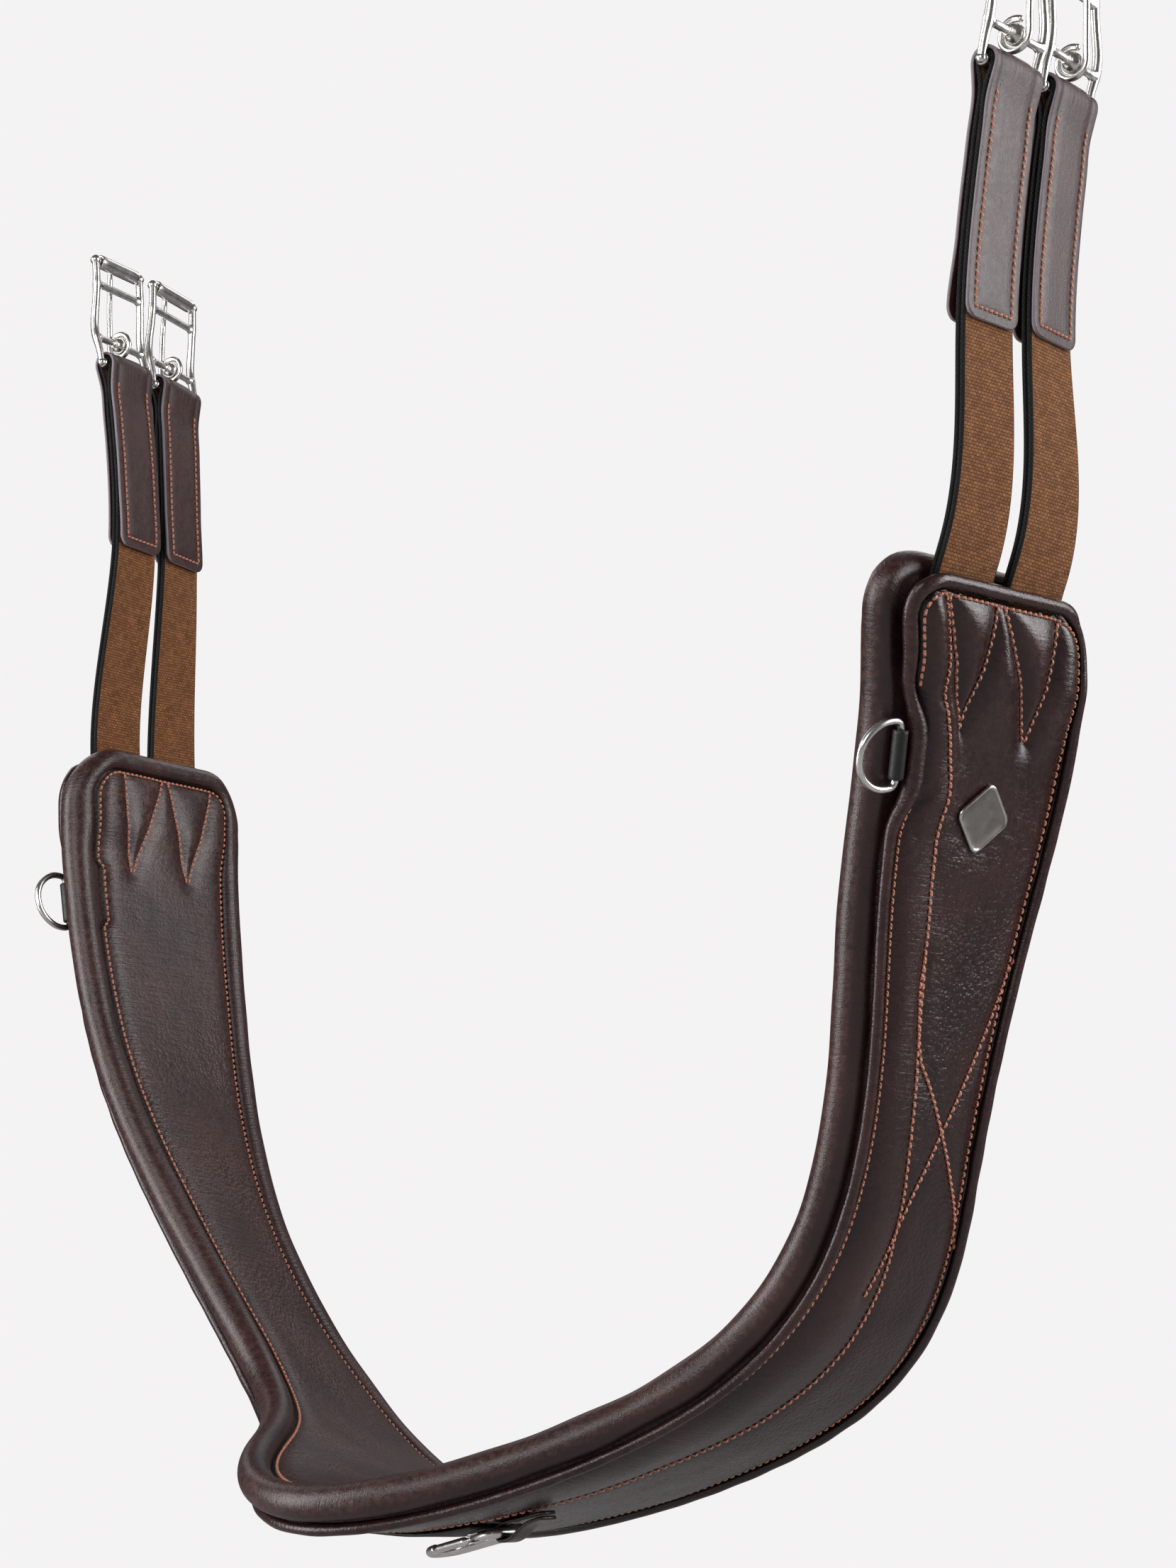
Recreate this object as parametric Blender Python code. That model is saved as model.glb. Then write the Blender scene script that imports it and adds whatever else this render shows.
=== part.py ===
"""Leather saddle girth: padded U-shaped body, four elastic straps with roller buckles,
two D-rings and a snap hook.  Metres, +Z up; the body hangs as a U in the XZ plane, its front
edge faces -Y.  Girth space is (s, t, n): s runs along the body from the left end, t across it
towards the back edge, n outward, away from the wearer's side."""
import math

import bmesh
import bpy
import numpy as np
from mathutils import Matrix, Vector

MM = 0.001
CLEAR = 0.3                      # gap between touching pieces, mm
HANG = (18, 0, 578)              # middle of the four rollers, by which the girth hangs: the origin

# Posture of the body, one value per station from the left end to the right end (mm, degrees)
MID_X = (-257, -252, -227, -176, -103, -1, 122, 188, 216, 243, 262)
MID_Y = (1, -3, -10, -14, -13, -5, 6, 15, 19, 14, -2)
MID_Z = (335, 286, 192, 101, 26, 1, 46, 134, 218, 284, 328)
TWIST = (13, 8, 10, 18, 18, 3, 0, 1, 3, 4, -1)
FRONT = (47, 40, 30, 12, 26, 98, 26, 12, 30, 40, 47)      # front seam from the middle line
BACK = (43, 40, 39, 44, 64, 29, 64, 44, 39, 40, 43)       # back seam from the middle line

SEAM_CORNER = 14.0               # corner radius of the seam at the body's ends
ROLL_OUT = 7.1                   # centre of the padded roll, beyond the seam
ROLL_N = -4.4                    # centre of the padded roll, along n
ROLL_R = 7.1
LINING_T = 1.4
PANEL_UNDER = 3.4
PANEL_EDGE = 5.2
PANEL_CROWN = 8.0
PANEL_CROWN_BOTTOM = 6.4
PIPING_R = 2.1
END_TUCK = 0.24                  # share by which the roll is narrower across the ends
END_SINK = 3.0                   # how far the end roll gives way under the straps
END_LIFT = 3.9                   # how far the panel rises over the straps

STRAP_OFFSET = 20.0
ELASTIC_W, ELASTIC_T = 30.0, 2.0
CHAPE_W, CHAPE_T, CHAPE_LEN = 31.0, 1.5, 92.0
BAR_R = 1.7                      # bottom bar of a buckle
PIVOT_H, PIVOT_N, PIVOT_BALL_R = 13.5, 1.9, 4.1
CROSSBAR_H, ROLLER_H = 41.0, 53.0
ROLLER_R, ROLLER_BORE_R, AXLE_R, ROLLER_HALF = 3.3, 1.95, 1.5, 14.2
TONGUE_RING_R, TONGUE_WIRE_R = 5.9, 1.3

DRING_S = 63.0                   # distance of each D-ring from its end seam
DRING_INSET, DRING_LIFT = 5.0, 1.9
DRING_N, DRING_OUT, DRING_WIRE_R = 6.4, 5.4, 1.4
BADGE_S, BADGE_T = 840.0, 2.0
HOOK_S, HOOK_T, HOOK_N = 503.0, -35.0, 11.2
HOOK_WIRE_R = 2.0

# Free run of each strap: lower end of the chape, buckle bar, roller (mm), turn about Z (degrees)
STRAPS = {
    "left_front": (-1, -STRAP_OFFSET, ((-248, -16, 444), (-254.5, -18.3, 538), (-259, -20, 591)),
                   (108, 107)),
    "left_rear": (-1, STRAP_OFFSET, ((-258.5, 17.5, 441), (-266.5, 20.2, 537), (-271, 21.7, 590)),
                  (111, 109)),
    "right_front": (1, -STRAP_OFFSET, ((282.2, -22, 423.4), (296.5, -21.5, 512), (304.5, -21.5, 564)),
                    (94, 97)),
    "right_rear": (1, STRAP_OFFSET, ((277.6, 19, 425), (291, 18.9, 515), (298, 18.9, 567)),
                   (99, 100)),
}

LEATHER = ((0.052, 0.028, 0.024), 0.42, 0.0)
LEATHER_LINING = ((0.06, 0.032, 0.027), 0.46, 0.0)
LEATHER_DARK = ((0.03, 0.018, 0.016), 0.5, 0.0)
STEEL = ((0.74, 0.74, 0.73), 0.18, 1.0)
STEEL_SATIN = ((0.36, 0.35, 0.34), 0.4, 1.0)
ELASTIC = ((0.17, 0.085, 0.04), 0.9, 0.0)
FOAM = ((0.75, 0.72, 0.62), 0.95, 0.0)
WEB = ((0.82, 0.8, 0.74), 0.9, 0.0)


def spline(knots, values, at):
    """Natural cubic spline through the values, read at the given places."""
    k, v, x = (np.asarray(a, float) for a in (knots, values, at))
    h = np.diff(k)
    system, rhs = np.eye(len(k)), np.zeros(len(k))
    for i in range(1, len(k) - 1):
        system[i, i - 1:i + 2] = h[i - 1], 2 * (h[i - 1] + h[i]), h[i]
        rhs[i] = 6 * ((v[i + 1] - v[i]) / h[i] - (v[i] - v[i - 1]) / h[i - 1])
    m = np.linalg.solve(system, rhs)
    i = np.clip(np.searchsorted(k, x) - 1, 0, len(k) - 2)
    a, b, hi = k[i + 1] - x, x - k[i], h[i]
    return ((m[i] * a ** 3 + m[i + 1] * b ** 3) / (6 * hi)
            + (v[i] / hi - m[i] * hi / 6) * a + (v[i + 1] / hi - m[i + 1] * hi / 6) * b)


def unit(rows):
    rows = np.asarray(rows, float)
    return rows / np.linalg.norm(rows, axis=-1, keepdims=True)


STATION = np.arange(11.0)
FINE = np.linspace(0, 10, 801)
CENTRE = np.stack([spline(STATION, c, FINE) for c in (MID_X, MID_Y, MID_Z)], -1)
ALONG = np.gradient(CENTRE, axis=0)
ARC = np.concatenate([[0], np.cumsum(np.linalg.norm(np.diff(CENTRE, axis=0), axis=1))])
LENGTH = float(ARC[-1])
TANGENT = unit(ALONG * (1, 0, 1))
TURN = np.radians(spline(STATION, TWIST, FINE))[:, None]
FLAT_OUT = -np.cross(TANGENT, (0.0, 1.0, 0.0))
ACROSS = np.cos(TURN) * np.array((0.0, 1.0, 0.0)) + np.sin(TURN) * FLAT_OUT
OUTWARD = np.cos(TURN) * FLAT_OUT - np.sin(TURN) * np.array((0.0, 1.0, 0.0))
FRONT_EDGE = spline(STATION, FRONT, FINE)
BACK_EDGE = spline(STATION, BACK, FINE)


def along(table, s):
    s = np.clip(s, 0, LENGTH)
    if table.ndim == 1:
        return np.interp(s, ARC, table)
    return np.stack([np.interp(s, ARC, table[:, i]) for i in range(3)], -1)


def place(s, t, n):
    """Point in space (mm) of girth coordinates; beyond the ends the body goes on straight."""
    s, t, n = np.broadcast_arrays(*(np.asarray(a, float) for a in (s, t, n)))
    beyond = s - np.clip(s, 0, LENGTH)
    return (along(CENTRE, s) + beyond[..., None] * unit(along(TANGENT, s))
            + t[..., None] * unit(along(ACROSS, s)) + n[..., None] * unit(along(OUTWARD, s)))


def middle(s):
    return (along(BACK_EDGE, s) - along(FRONT_EDGE, s)) / 2


def smooth(x):
    x = np.clip(x, 0, 1)
    return x * x * (3 - 2 * x)


def end_zone(s, t):
    """1 where the straps lie between lining and panel, fading to 0 around them."""
    near = np.minimum(s, LENGTH - s)
    return smooth((44 - near) / 20) * smooth((56 - np.abs(t - middle(s))) / 19)


def dring_zone(s, t):
    near = np.minimum(s, LENGTH - s)
    front = smooth((-(t - middle(s)) - 14) / 12)
    return np.exp(-((near - DRING_S) / 21) ** 4) * front


def side_stations():
    """Stations along the body that every piece of it shares, closer together where it bends."""
    r = SEAM_CORNER
    bands = ((r, 46, 2), (46, 90, 3), (90, LENGTH / 2 - 150, 7), (LENGTH / 2 - 150, LENGTH / 2 + 150, 14),
             (LENGTH / 2 + 150, LENGTH - 90, 7), (LENGTH - 90, LENGTH - 46, 3), (LENGTH - 46, LENGTH - r, 2))
    return np.concatenate([np.linspace(a, b, k, endpoint=False) for a, b, k in bands] + [[LENGTH - r]])


def seam_outline():
    """Seam line as a closed loop in (s, t) with its outward normals."""
    r, side = SEAM_CORNER, side_stations()
    quarter = np.radians(np.array([15.0, 38, 62, 82]))
    loop = [(s, -along(FRONT_EDGE, s)) for s in side]
    for s0, way in ((LENGTH, 1), (0.0, -1)):
        front = -along(FRONT_EDGE, s0 - way * r) + r
        back = along(BACK_EDGE, s0 - way * r) - r
        arc = [(s0 - way * r * (1 - math.sin(a)), front - r * math.cos(a)) for a in quarter]
        edge = [(s0, front + (back - front) * f) for f in (0.05, 0.28, 0.5, 0.72, 0.95)]
        closing = [(s0 - way * r * (1 - math.sin(a)), back + r * math.cos(a)) for a in quarter[::-1]]
        end = arc + edge + closing
        loop += end if way > 0 else [(s, along(BACK_EDGE, s)) for s in side[::-1]] + end[::-1]
    loop = np.array(loop, float)
    step = unit(np.roll(loop, -1, 0) - np.roll(loop, 1, 0))
    return loop, np.stack([step[:, 1], -step[:, 0]], -1)


SEAM, SEAM_NORMAL = seam_outline()
SPINE_S = np.clip(SEAM[:, 0], 46, LENGTH - 46)
SPINE = np.stack([SPINE_S, middle(SPINE_S)], -1)


def ring(offset=None, inward=None, n=0.0, sink=0.0, lift=0.0, crown=0.0):
    """One closed ring of the body: the seam moved out by offset, or a share of the way to the spine."""
    out = np.full(len(SEAM), -8.0 if inward is not None else offset)
    if out[0] > 0 and not lift:
        out *= 1 - END_TUCK * np.exp(-(np.minimum(SEAM[:, 0], LENGTH - SEAM[:, 0]) / 10) ** 2)
    st = SEAM + out[:, None] * SEAM_NORMAL
    if inward is not None:
        st = st + (SPINE - st) * inward
    s, t = st[:, 0], st[:, 1]
    dent = dring_zone(s, t)
    if lift:
        t = t + DRING_INSET * dent
    height = n - sink * END_SINK * end_zone(s, t) + lift * (END_LIFT * end_zone(s, t) + DRING_LIFT * dent)
    flat = np.exp(-((s - 475) / 70) ** 2)
    height = height + crown * (PANEL_CROWN - PANEL_EDGE + (PANEL_CROWN_BOTTOM - PANEL_CROWN) * flat)
    return place(s, t, height)


def body_from_rings(going_out, coming_back):
    """Closed body from rings that start and end on the spine; nested bodies split quads alike."""
    rings = going_out + coming_back
    count, faces = len(rings[0]), []
    for k in range(len(rings) - 1):
        for j in range(count):
            a, b = k * count + j, k * count + (j + 1) % count
            c, d = b + count, a + count
            faces += [(a, b, c), (a, c, d)] if k < len(going_out) else [(a, b, d), (b, c, d)]
    return np.concatenate(rings), faces


def roll(radius, angles, **kw):
    return [ring(ROLL_OUT + radius * math.cos(a), n=ROLL_N + radius * math.sin(a), **kw)
            for a in np.radians(angles)]


def loft(centres, u_axes, v_axes, profile, closed=False):
    """Sweep a closed (u, v) profile, one per centre or one for all, and cap the ends."""
    centres, u_axes, v_axes = (np.asarray(a, float) for a in (centres, u_axes, v_axes))
    profile = np.asarray(profile, float)
    if profile.ndim == 2:
        profile = np.broadcast_to(profile, (len(centres),) + profile.shape)
    rows = (centres[:, None] + profile[..., :1] * np.broadcast_to(u_axes, centres.shape)[:, None]
            + profile[..., 1:] * np.broadcast_to(v_axes, centres.shape)[:, None])
    k, m = len(centres), profile.shape[1]
    faces = [(i * m + j, i * m + (j + 1) % m, ((i + 1) % k) * m + (j + 1) % m, ((i + 1) % k) * m + j)
             for i in range(k if closed else k - 1) for j in range(m)]
    if not closed:
        faces += [tuple(range(m))[::-1], tuple(range((k - 1) * m, k * m))]
    return rows.reshape(-1, 3), faces


def circle(radius, sides, squash=1.0):
    a = np.arange(sides) * 2 * math.pi / sides
    return np.stack([radius * np.cos(a), radius * squash * np.sin(a)], -1)


def tube(path, radius, sides=8, closed=False, up=(0.0, 0.0, 1.0), squash=1.0):
    """Round bar along a path; up fixes the profile's v axis as nearly as it can."""
    path = np.asarray(path, float)
    if closed:
        step = np.roll(path, -1, 0) - np.roll(path, 1, 0)
    else:
        step = np.gradient(path, axis=0)
    step = unit(step)
    u_axis = unit(np.cross(np.broadcast_to(up, path.shape), step))
    v_axis = np.cross(step, u_axis)
    radius = np.broadcast_to(np.asarray(radius, float), len(path))
    profile = circle(1.0, sides, squash)[None] * radius[:, None, None]
    return loft(path, u_axis, v_axis, profile, closed)


def ball(centre, radius, rings=6, sides=10):
    bm = bmesh.new()
    bmesh.ops.create_uvsphere(bm, u_segments=sides, v_segments=rings, radius=radius)
    verts = np.array([v.co for v in bm.verts]) + np.asarray(centre, float)
    faces = [tuple(v.index for v in f.verts) for f in bm.faces]
    bm.free()
    return verts, faces


def mesh_of(verts, faces, name):
    bm = bmesh.new()
    made = [bm.verts.new(Vector(v) * MM) for v in np.asarray(verts, float)]
    for face in faces:
        bm.faces.new([made[i] for i in face])
    bmesh.ops.remove_doubles(bm, verts=bm.verts, dist=0.00001)
    bmesh.ops.dissolve_degenerate(bm, edges=bm.edges, dist=0.000005)
    bmesh.ops.recalc_face_normals(bm, faces=bm.faces)
    if bm.calc_volume(signed=True) < 0:
        bmesh.ops.reverse_faces(bm, faces=bm.faces)
    mesh = bpy.data.meshes.new(name)
    bm.to_mesh(mesh)
    bm.free()
    return mesh


def add(name, solid, look, parent=None, origin=HANG):
    """Named piece with its own material and its origin (mm) on its joint axis."""
    mesh = solid if isinstance(solid, bpy.types.Mesh) else mesh_of(solid[0], solid[1], name)
    mesh.name = name
    origin = Vector(origin) * MM
    mesh.transform(Matrix.Translation(-origin))
    origin -= Vector(HANG) * MM
    mesh.validate()
    obj = bpy.data.objects.new(name, mesh)
    bpy.context.scene.collection.objects.link(obj)
    obj.location = origin
    colour, rough, metal = look
    mat = bpy.data.materials.new(name)
    mat.use_nodes = True
    shader = mat.node_tree.nodes["Principled BSDF"]
    shader.inputs["Base Color"].default_value = (*colour, 1)
    shader.inputs["Roughness"].default_value = rough
    shader.inputs["Metallic"].default_value = metal
    mesh.materials.clear()
    mesh.materials.append(mat)
    if parent:
        obj.parent = parent
        obj.matrix_parent_inverse = Matrix.Translation(-parent.matrix_world.translation)
        bpy.context.view_layer.update()
    return obj


def combine(solids, operation="UNION"):
    """One closed mesh from several solids: all joined, or all others cut from the first."""
    made = []
    for solid in solids:
        obj = bpy.data.objects.new("piece", mesh_of(solid[0], solid[1], "piece"))
        bpy.context.scene.collection.objects.link(obj)
        made.append(obj)
    for other in made[1:]:
        cut = made[0].modifiers.new("join", "BOOLEAN")
        cut.operation, cut.solver, cut.object = operation, "EXACT", other
    bpy.context.view_layer.update()
    result = bpy.data.meshes.new_from_object(made[0].evaluated_get(bpy.context.evaluated_depsgraph_get()))
    for obj in made:
        old = obj.data
        bpy.data.objects.remove(obj)
        bpy.data.meshes.remove(old)
    return result


def raw(mesh):
    """Points (mm) and faces of a mesh, to place copies of it."""
    return (np.array([v.co for v in mesh.vertices]) / MM, [tuple(p.vertices) for p in mesh.polygons])


# ---------------------------------------------------------------- body of the girth
def lining():
    groove, rim = (-135, -100, -62, -25, 10, 45, 82), dict(sink=1)
    outer = [ring(inward=1.0, n=-11.6, **rim), ring(inward=0.3, n=-11.4, **rim), ring(-6, n=-10.6, **rim),
             ring(0, n=-8.9, **rim)] + roll(ROLL_R, groove, **rim) + [ring(-6, n=2.9, **rim)]
    inner = [ring(-6, n=1.5, **rim)] + roll(ROLL_R - LINING_T, groove[::-1], **rim)
    inner += [ring(0, n=-7.5, **rim), ring(-6, n=-9.2, **rim), ring(inward=0.3, n=-10.0, **rim),
              ring(inward=1.0, n=-10.2, **rim)]
    return body_from_rings(outer, inner)


def foam():
    rim = dict(sink=1)
    low = [ring(inward=1.0, n=-9.6, **rim), ring(inward=0.3, n=-9.4, **rim), ring(-6, n=-8.5, **rim),
            ring(0, n=-6.7, **rim)] + roll(ROLL_R - LINING_T - 0.9, (-135, -100, -62, -25, 10, 45, 82), **rim)
    high = [ring(-8, n=0.5, **rim), ring(inward=0.3, n=-0.1, **rim), ring(inward=1.0, n=-0.1, **rim)]
    return body_from_rings(low, high)


def outer_panel():
    top = [ring(inward=1.0, n=PANEL_EDGE, lift=1, crown=1), ring(inward=0.35, n=PANEL_EDGE, lift=1, crown=1),
           ring(-8, n=PANEL_EDGE, lift=1, crown=0.55), ring(-2.5, n=PANEL_EDGE, lift=1),
           ring(1.4, n=PANEL_EDGE - 0.2, lift=1)]
    under = [ring(1.4, n=PANEL_UNDER, lift=1), ring(-8, n=PANEL_UNDER, lift=1),
             ring(inward=0.35, n=PANEL_UNDER, lift=1), ring(inward=1.0, n=PANEL_UNDER, lift=1)]
    return body_from_rings(top, under)


def piping():
    rings = [ring(1.4 + CLEAR + PIPING_R * (1 + math.cos(a)), n=PANEL_UNDER + PIPING_R * (1 + math.sin(a)),
                  lift=1) for a in np.arange(6) * math.pi / 3]
    count, verts, faces = len(rings[0]), np.concatenate(rings), []
    for k in range(6):
        for j in range(count):
            a, b, over = k * count + j, k * count + (j + 1) % count, ((k + 1) % 6 - k) * count
            faces.append((a, b, b + over, a + over))
    return verts, faces


def load_web(side):
    """Webbing strip inside the body that carries the pull from one end to the other."""
    s = side_stations()[2:-2]
    half_body = (along(FRONT_EDGE, s) + along(BACK_EDGE, s)) / 2 - 9
    half = np.minimum(12.5, half_body / 2 - 1)
    mid = middle(s) + side * np.minimum(20, half_body / 2)
    rows = [place(s, mid + a * half, 1.5 + b) for a, b in ((-1, 0), (1, 0), (1, 1.4), (-1, 1.4))]
    verts = np.stack(rows, 1).reshape(-1, 3)
    faces = [(4 * i + j, 4 * i + (j + 1) % 4, 4 * i + 4 + (j + 1) % 4, 4 * i + 4 + j)
             for i in range(len(s) - 1) for j in range(4)]
    last = 4 * (len(s) - 1)
    return verts, faces + [(3, 2, 1, 0), (last, last + 1, last + 2, last + 3)]


def badge():
    """Small rhombus plate with a raised rim, lying on the panel of the right arm."""
    corner = ((12.9, -1.2), (12.9, 1.2), (1.2, 12.6), (-1.2, 12.6), (-12.9, 1.2), (-12.9, -1.2), (-1.2, -12.6),
              (1.2, -12.6))
    origin, base = place(BADGE_S, BADGE_T, PANEL_CROWN + 0.75), []
    t_axis, b_axis, n_axis = (unit(along(a, BADGE_S)) for a in (TANGENT, ACROSS, OUTWARD))
    for scale, n in ((1.0, 0.0), (1.0, 1.5), (0.97, 1.9), (0.9, 1.9), (0.86, 1.5), (0.0, 1.5)):
        base.append([origin + scale * (a * t_axis + b * b_axis) + n * n_axis for a, b in corner])
    verts = np.concatenate([np.array([origin])] + [np.array(b) for b in base])
    count = len(corner)
    faces = [(0, 1 + (j + 1) % count, 1 + j) for j in range(count)]
    for k in range(5):
        for j in range(count):
            a, b = 1 + k * count + j, 1 + k * count + (j + 1) % count
            faces.append((a, b, b + count, a + count))
    return verts, faces


# ---------------------------------------------------------------- D-rings
def edge_frame(s):
    """Middle of a D-ring's straight bar and its directions: along, outward past the edge, away."""
    near, centre, far = (place(a, -along(FRONT_EDGE, a) - DRING_OUT, DRING_N) for a in (s - 12, s, s + 12))
    a_axis, n_axis = unit(far - near), unit(along(OUTWARD, s))
    n_axis = unit(n_axis - n_axis.dot(a_axis) * a_axis)
    return centre, a_axis, np.cross(n_axis, a_axis), n_axis


def dring(s):
    half = ((5, 0), (9.4, 0), (11.8, 1.2), (12.6, 4.2), (12.1, 8.6), (9.9, 12.9), (5.8, 16.6))
    path = [(0, 0)] + list(half) + [(0, 18)] + [(-a, e) for a, e in half[::-1]]
    centre, a_axis, e_axis, n_axis = edge_frame(s)
    points = [centre + a * a_axis + e * e_axis for a, e in path]
    return tube(points, DRING_WIRE_R, 8, closed=True, up=n_axis), centre


def dring_tab(s):
    """Leather strip sewn under the panel and looped round the D-ring's bar."""
    centre, a_axis, e_axis, n_axis = edge_frame(s)
    radius, thick = DRING_WIRE_R + CLEAR + 0.6, 1.2
    path = [(-12.0, -radius), (-8, -radius), (-4, -radius)]
    path += [(radius * math.sin(a), -radius * math.cos(a)) for a in np.radians(np.arange(0, 256, 30))]
    path = np.array(path)
    step = unit(np.gradient(path, axis=0))
    centres = centre + path[:, :1] * e_axis + path[:, 1:] * n_axis
    side = -step[:, 1:] * e_axis + step[:, :1] * n_axis
    h = thick / 2
    return loft(centres, np.broadcast_to(a_axis, centres.shape), side,
                ((-7.5, -h), (7.5, -h), (7.5, h), (-7.5, h)))


# ---------------------------------------------------------------- snap hook under the centre
def hook_frame():
    origin = place(HOOK_S, HOOK_T, HOOK_N)
    left = -unit(along(TANGENT, HOOK_S - 8))
    c_axis = unit(along(ACROSS, HOOK_S - 8))
    return origin, left, c_axis, unit(along(OUTWARD, HOOK_S - 8))


def in_frame(frame, rows):
    origin, x_axis, y_axis, z_axis = frame
    rows = np.asarray(rows, float)
    return origin + rows[:, :1] * x_axis + rows[:, 1:2] * y_axis + rows[:, 2:3] * z_axis


def hook_pieces():
    """Oval snap hook: wire body with two cheeks, gate lever, pin and return spring."""
    frame = hook_frame()
    wire = ((9.0, -7.4), (5.5, -7.6), (2.2, -6.9), (0.3, -4.6), (0, -1.5), (0, 1.5), (0.3, 4.6), (2.2, 6.9),
            (5.5, 7.6), (14, 7.4), (24, 7.2), (33, 7.4), (38.2, 6.6), (41.6, 3.6), (42.4, 0), (41.2, -3.8),
            (37.8, -6.6), (34.4, -7.4))
    body = tube([(a, c, 0) for a, c in wire], HOOK_WIRE_R, 8)
    pin_at = (12.6, -7.4)

    def plate(n0, n1):
        a = np.linspace(0, 2 * math.pi, 13)[:-1]
        nose = [(pin_at[0] + 1.9 * math.cos(x), pin_at[1] + 1.8 * math.sin(x))
                for x in a if math.cos(x) > -0.3]
        nose.sort(key=lambda p: math.atan2(p[1] - pin_at[1], p[0] - pin_at[0]))
        rim = [(7.4, -9.2)] + nose + [(7.4, -5.6)]
        low = [(a, c, n0) for a, c in rim]
        high = [(a, c, n1) for a, c in rim]
        k = len(rim)
        return (np.array(low + high), [tuple(range(k))[::-1], tuple(range(k, 2 * k))]
                + [(j, (j + 1) % k, k + (j + 1) % k, k + j) for j in range(k)])

    def bolt(radius, half, sides=10):
        return tube([(*pin_at, -half), (*pin_at, 0), (*pin_at, half)], radius, sides, up=(1.0, 0.0, 0.0))

    cheeks = combine([body, plate(-1.95, -1.25), plate(1.25, 1.95)])
    cheeks = combine([raw(cheeks), bolt(0.95, 4)], "DIFFERENCE")
    lever = tube([(11.3, -7.4, 0), (12.6, -7.4, 0), (14.4, -7.4, 0), (17, -7.4, 0), (32.6, -7.4, 0)],
                 (0.6, 0.7, 0.7, 1.7, 1.7), 8, up=(0.0, 0.0, 1.0))
    eye = tube([(*pin_at, -0.7), (*pin_at, 0), (*pin_at, 0.7)], 1.6, 12, up=(1.0, 0.0, 0.0))
    gate = combine([raw(combine([lever, eye])), bolt(0.85, 3)], "DIFFERENCE")
    turns = np.linspace(0, 2 * math.pi * 1.6, 16)
    coil = [(pin_at[0] + 1.2 * math.cos(x), pin_at[1] + 1.2 * math.sin(x), 0.9 + 0.02 * x) for x in turns]
    spring = tube(coil, 0.1, 5, up=(0.0, 0.0, 1.0))
    pin = bolt(0.6, 1.95, 8)
    pieces = {}
    for name, solid in (("hook_body", raw(cheeks)), ("hook_gate", raw(gate)), ("hook_pin", pin),
                        ("hook_spring", spring)):
        pieces[name] = (in_frame(frame, solid[0]), solid[1])
    return pieces, frame[0], in_frame(frame, [(*pin_at, 0)])[0]


def hook_tab():
    """Leather tab folded round the hook's end bar; both leaves run on towards the right."""
    outer = HOOK_WIRE_R + CLEAR + 0.8
    path = [(24, -3.0), (16, -outer), (8, -outer)]
    path += [(-outer * math.sin(a), -outer * math.cos(a)) for a in np.radians(np.arange(0, 181, 30))]
    path += [(6, 2.6), (11, 0.4), (17, -0.9), (24, -1.1)]
    frame = hook_frame()
    tab = (frame[0], -frame[1], frame[2], frame[3])
    path = np.array(path)
    step = unit(np.gradient(path, axis=0))
    rows = in_frame(tab, np.stack([path[:, 0], 0 * path[:, 0], path[:, 1]], -1))
    normal = -step[:, 1:] * tab[1] + step[:, :1] * tab[3]
    width = np.full(len(path), 4.0)
    profile = np.array([[(-w, -0.75), (w, -0.75), (w, 0.75), (-w, 0.75)] for w in width])
    return loft(rows, np.broadcast_to(tab[2], rows.shape), normal, profile)


def hook_guard():
    """Flap between the snap hook and the panel; its left end is free and curls away."""
    s = np.linspace(424, 498, 13)
    curl = 3.5 * smooth((446 - s) / 24)
    half = 13.5 - 5.0 * smooth((431 - s) / 8) ** 2
    base = PANEL_CROWN_BOTTOM + 0.9 + curl
    rows = [place(s, HOOK_T + a * half, base + b) for a, b in ((-1, 0), (1, 0), (1, 1.4), (-1, 1.4))]
    verts = np.stack(rows, 1).reshape(-1, 3)
    last = 4 * (len(s) - 1)
    faces = [(4 * i + j, 4 * i + (j + 1) % 4, 4 * i + 4 + (j + 1) % 4, 4 * i + 4 + j)
             for i in range(len(s) - 1) for j in range(4)]
    return verts, faces + [(3, 2, 1, 0), (last, last + 1, last + 2, last + 3)]


# ---------------------------------------------------------------- straps and buckles
def strap_run(key):
    """Centre line of a strap by distance below the buckle bar, with its across and outward axes."""
    side, tau, knots, turns = STRAPS[key]
    ends = (20.0, 8.0, -4.0, -15.0)
    ends = [s if side < 0 else LENGTH - s for s in ends]
    n = 3.1 - END_SINK + 3 * CLEAR + ELASTIC_T + 0.3
    points = np.array([place(s, tau, n) for s in ends] + list(knots), float)
    body_turn = math.degrees(math.atan2(*along(ACROSS, ends[0])[[1, 0]]))
    angle = np.array([body_turn] * 4 + [turns[0], turns[1], turns[1]])
    knot = np.concatenate([[0], np.cumsum(np.linalg.norm(np.diff(points, axis=0), axis=1))])
    fine = np.linspace(0, knot[5], 161)
    line = np.stack([spline(knot, points[:, i], fine) for i in range(3)], -1)
    below = np.concatenate([[0], np.cumsum(np.linalg.norm(np.diff(line[::-1], axis=0), axis=1))])[::-1]
    turn = np.radians(np.interp(fine, knot, angle))
    up = unit(np.gradient(line, axis=0))
    across = np.stack([np.cos(turn), np.sin(turn), 0 * turn], -1)
    across = unit(across - (across * up).sum(1)[:, None] * up)
    return dict(line=line, below=below, up=up, across=across, out=side * np.cross(across, up))


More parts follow.
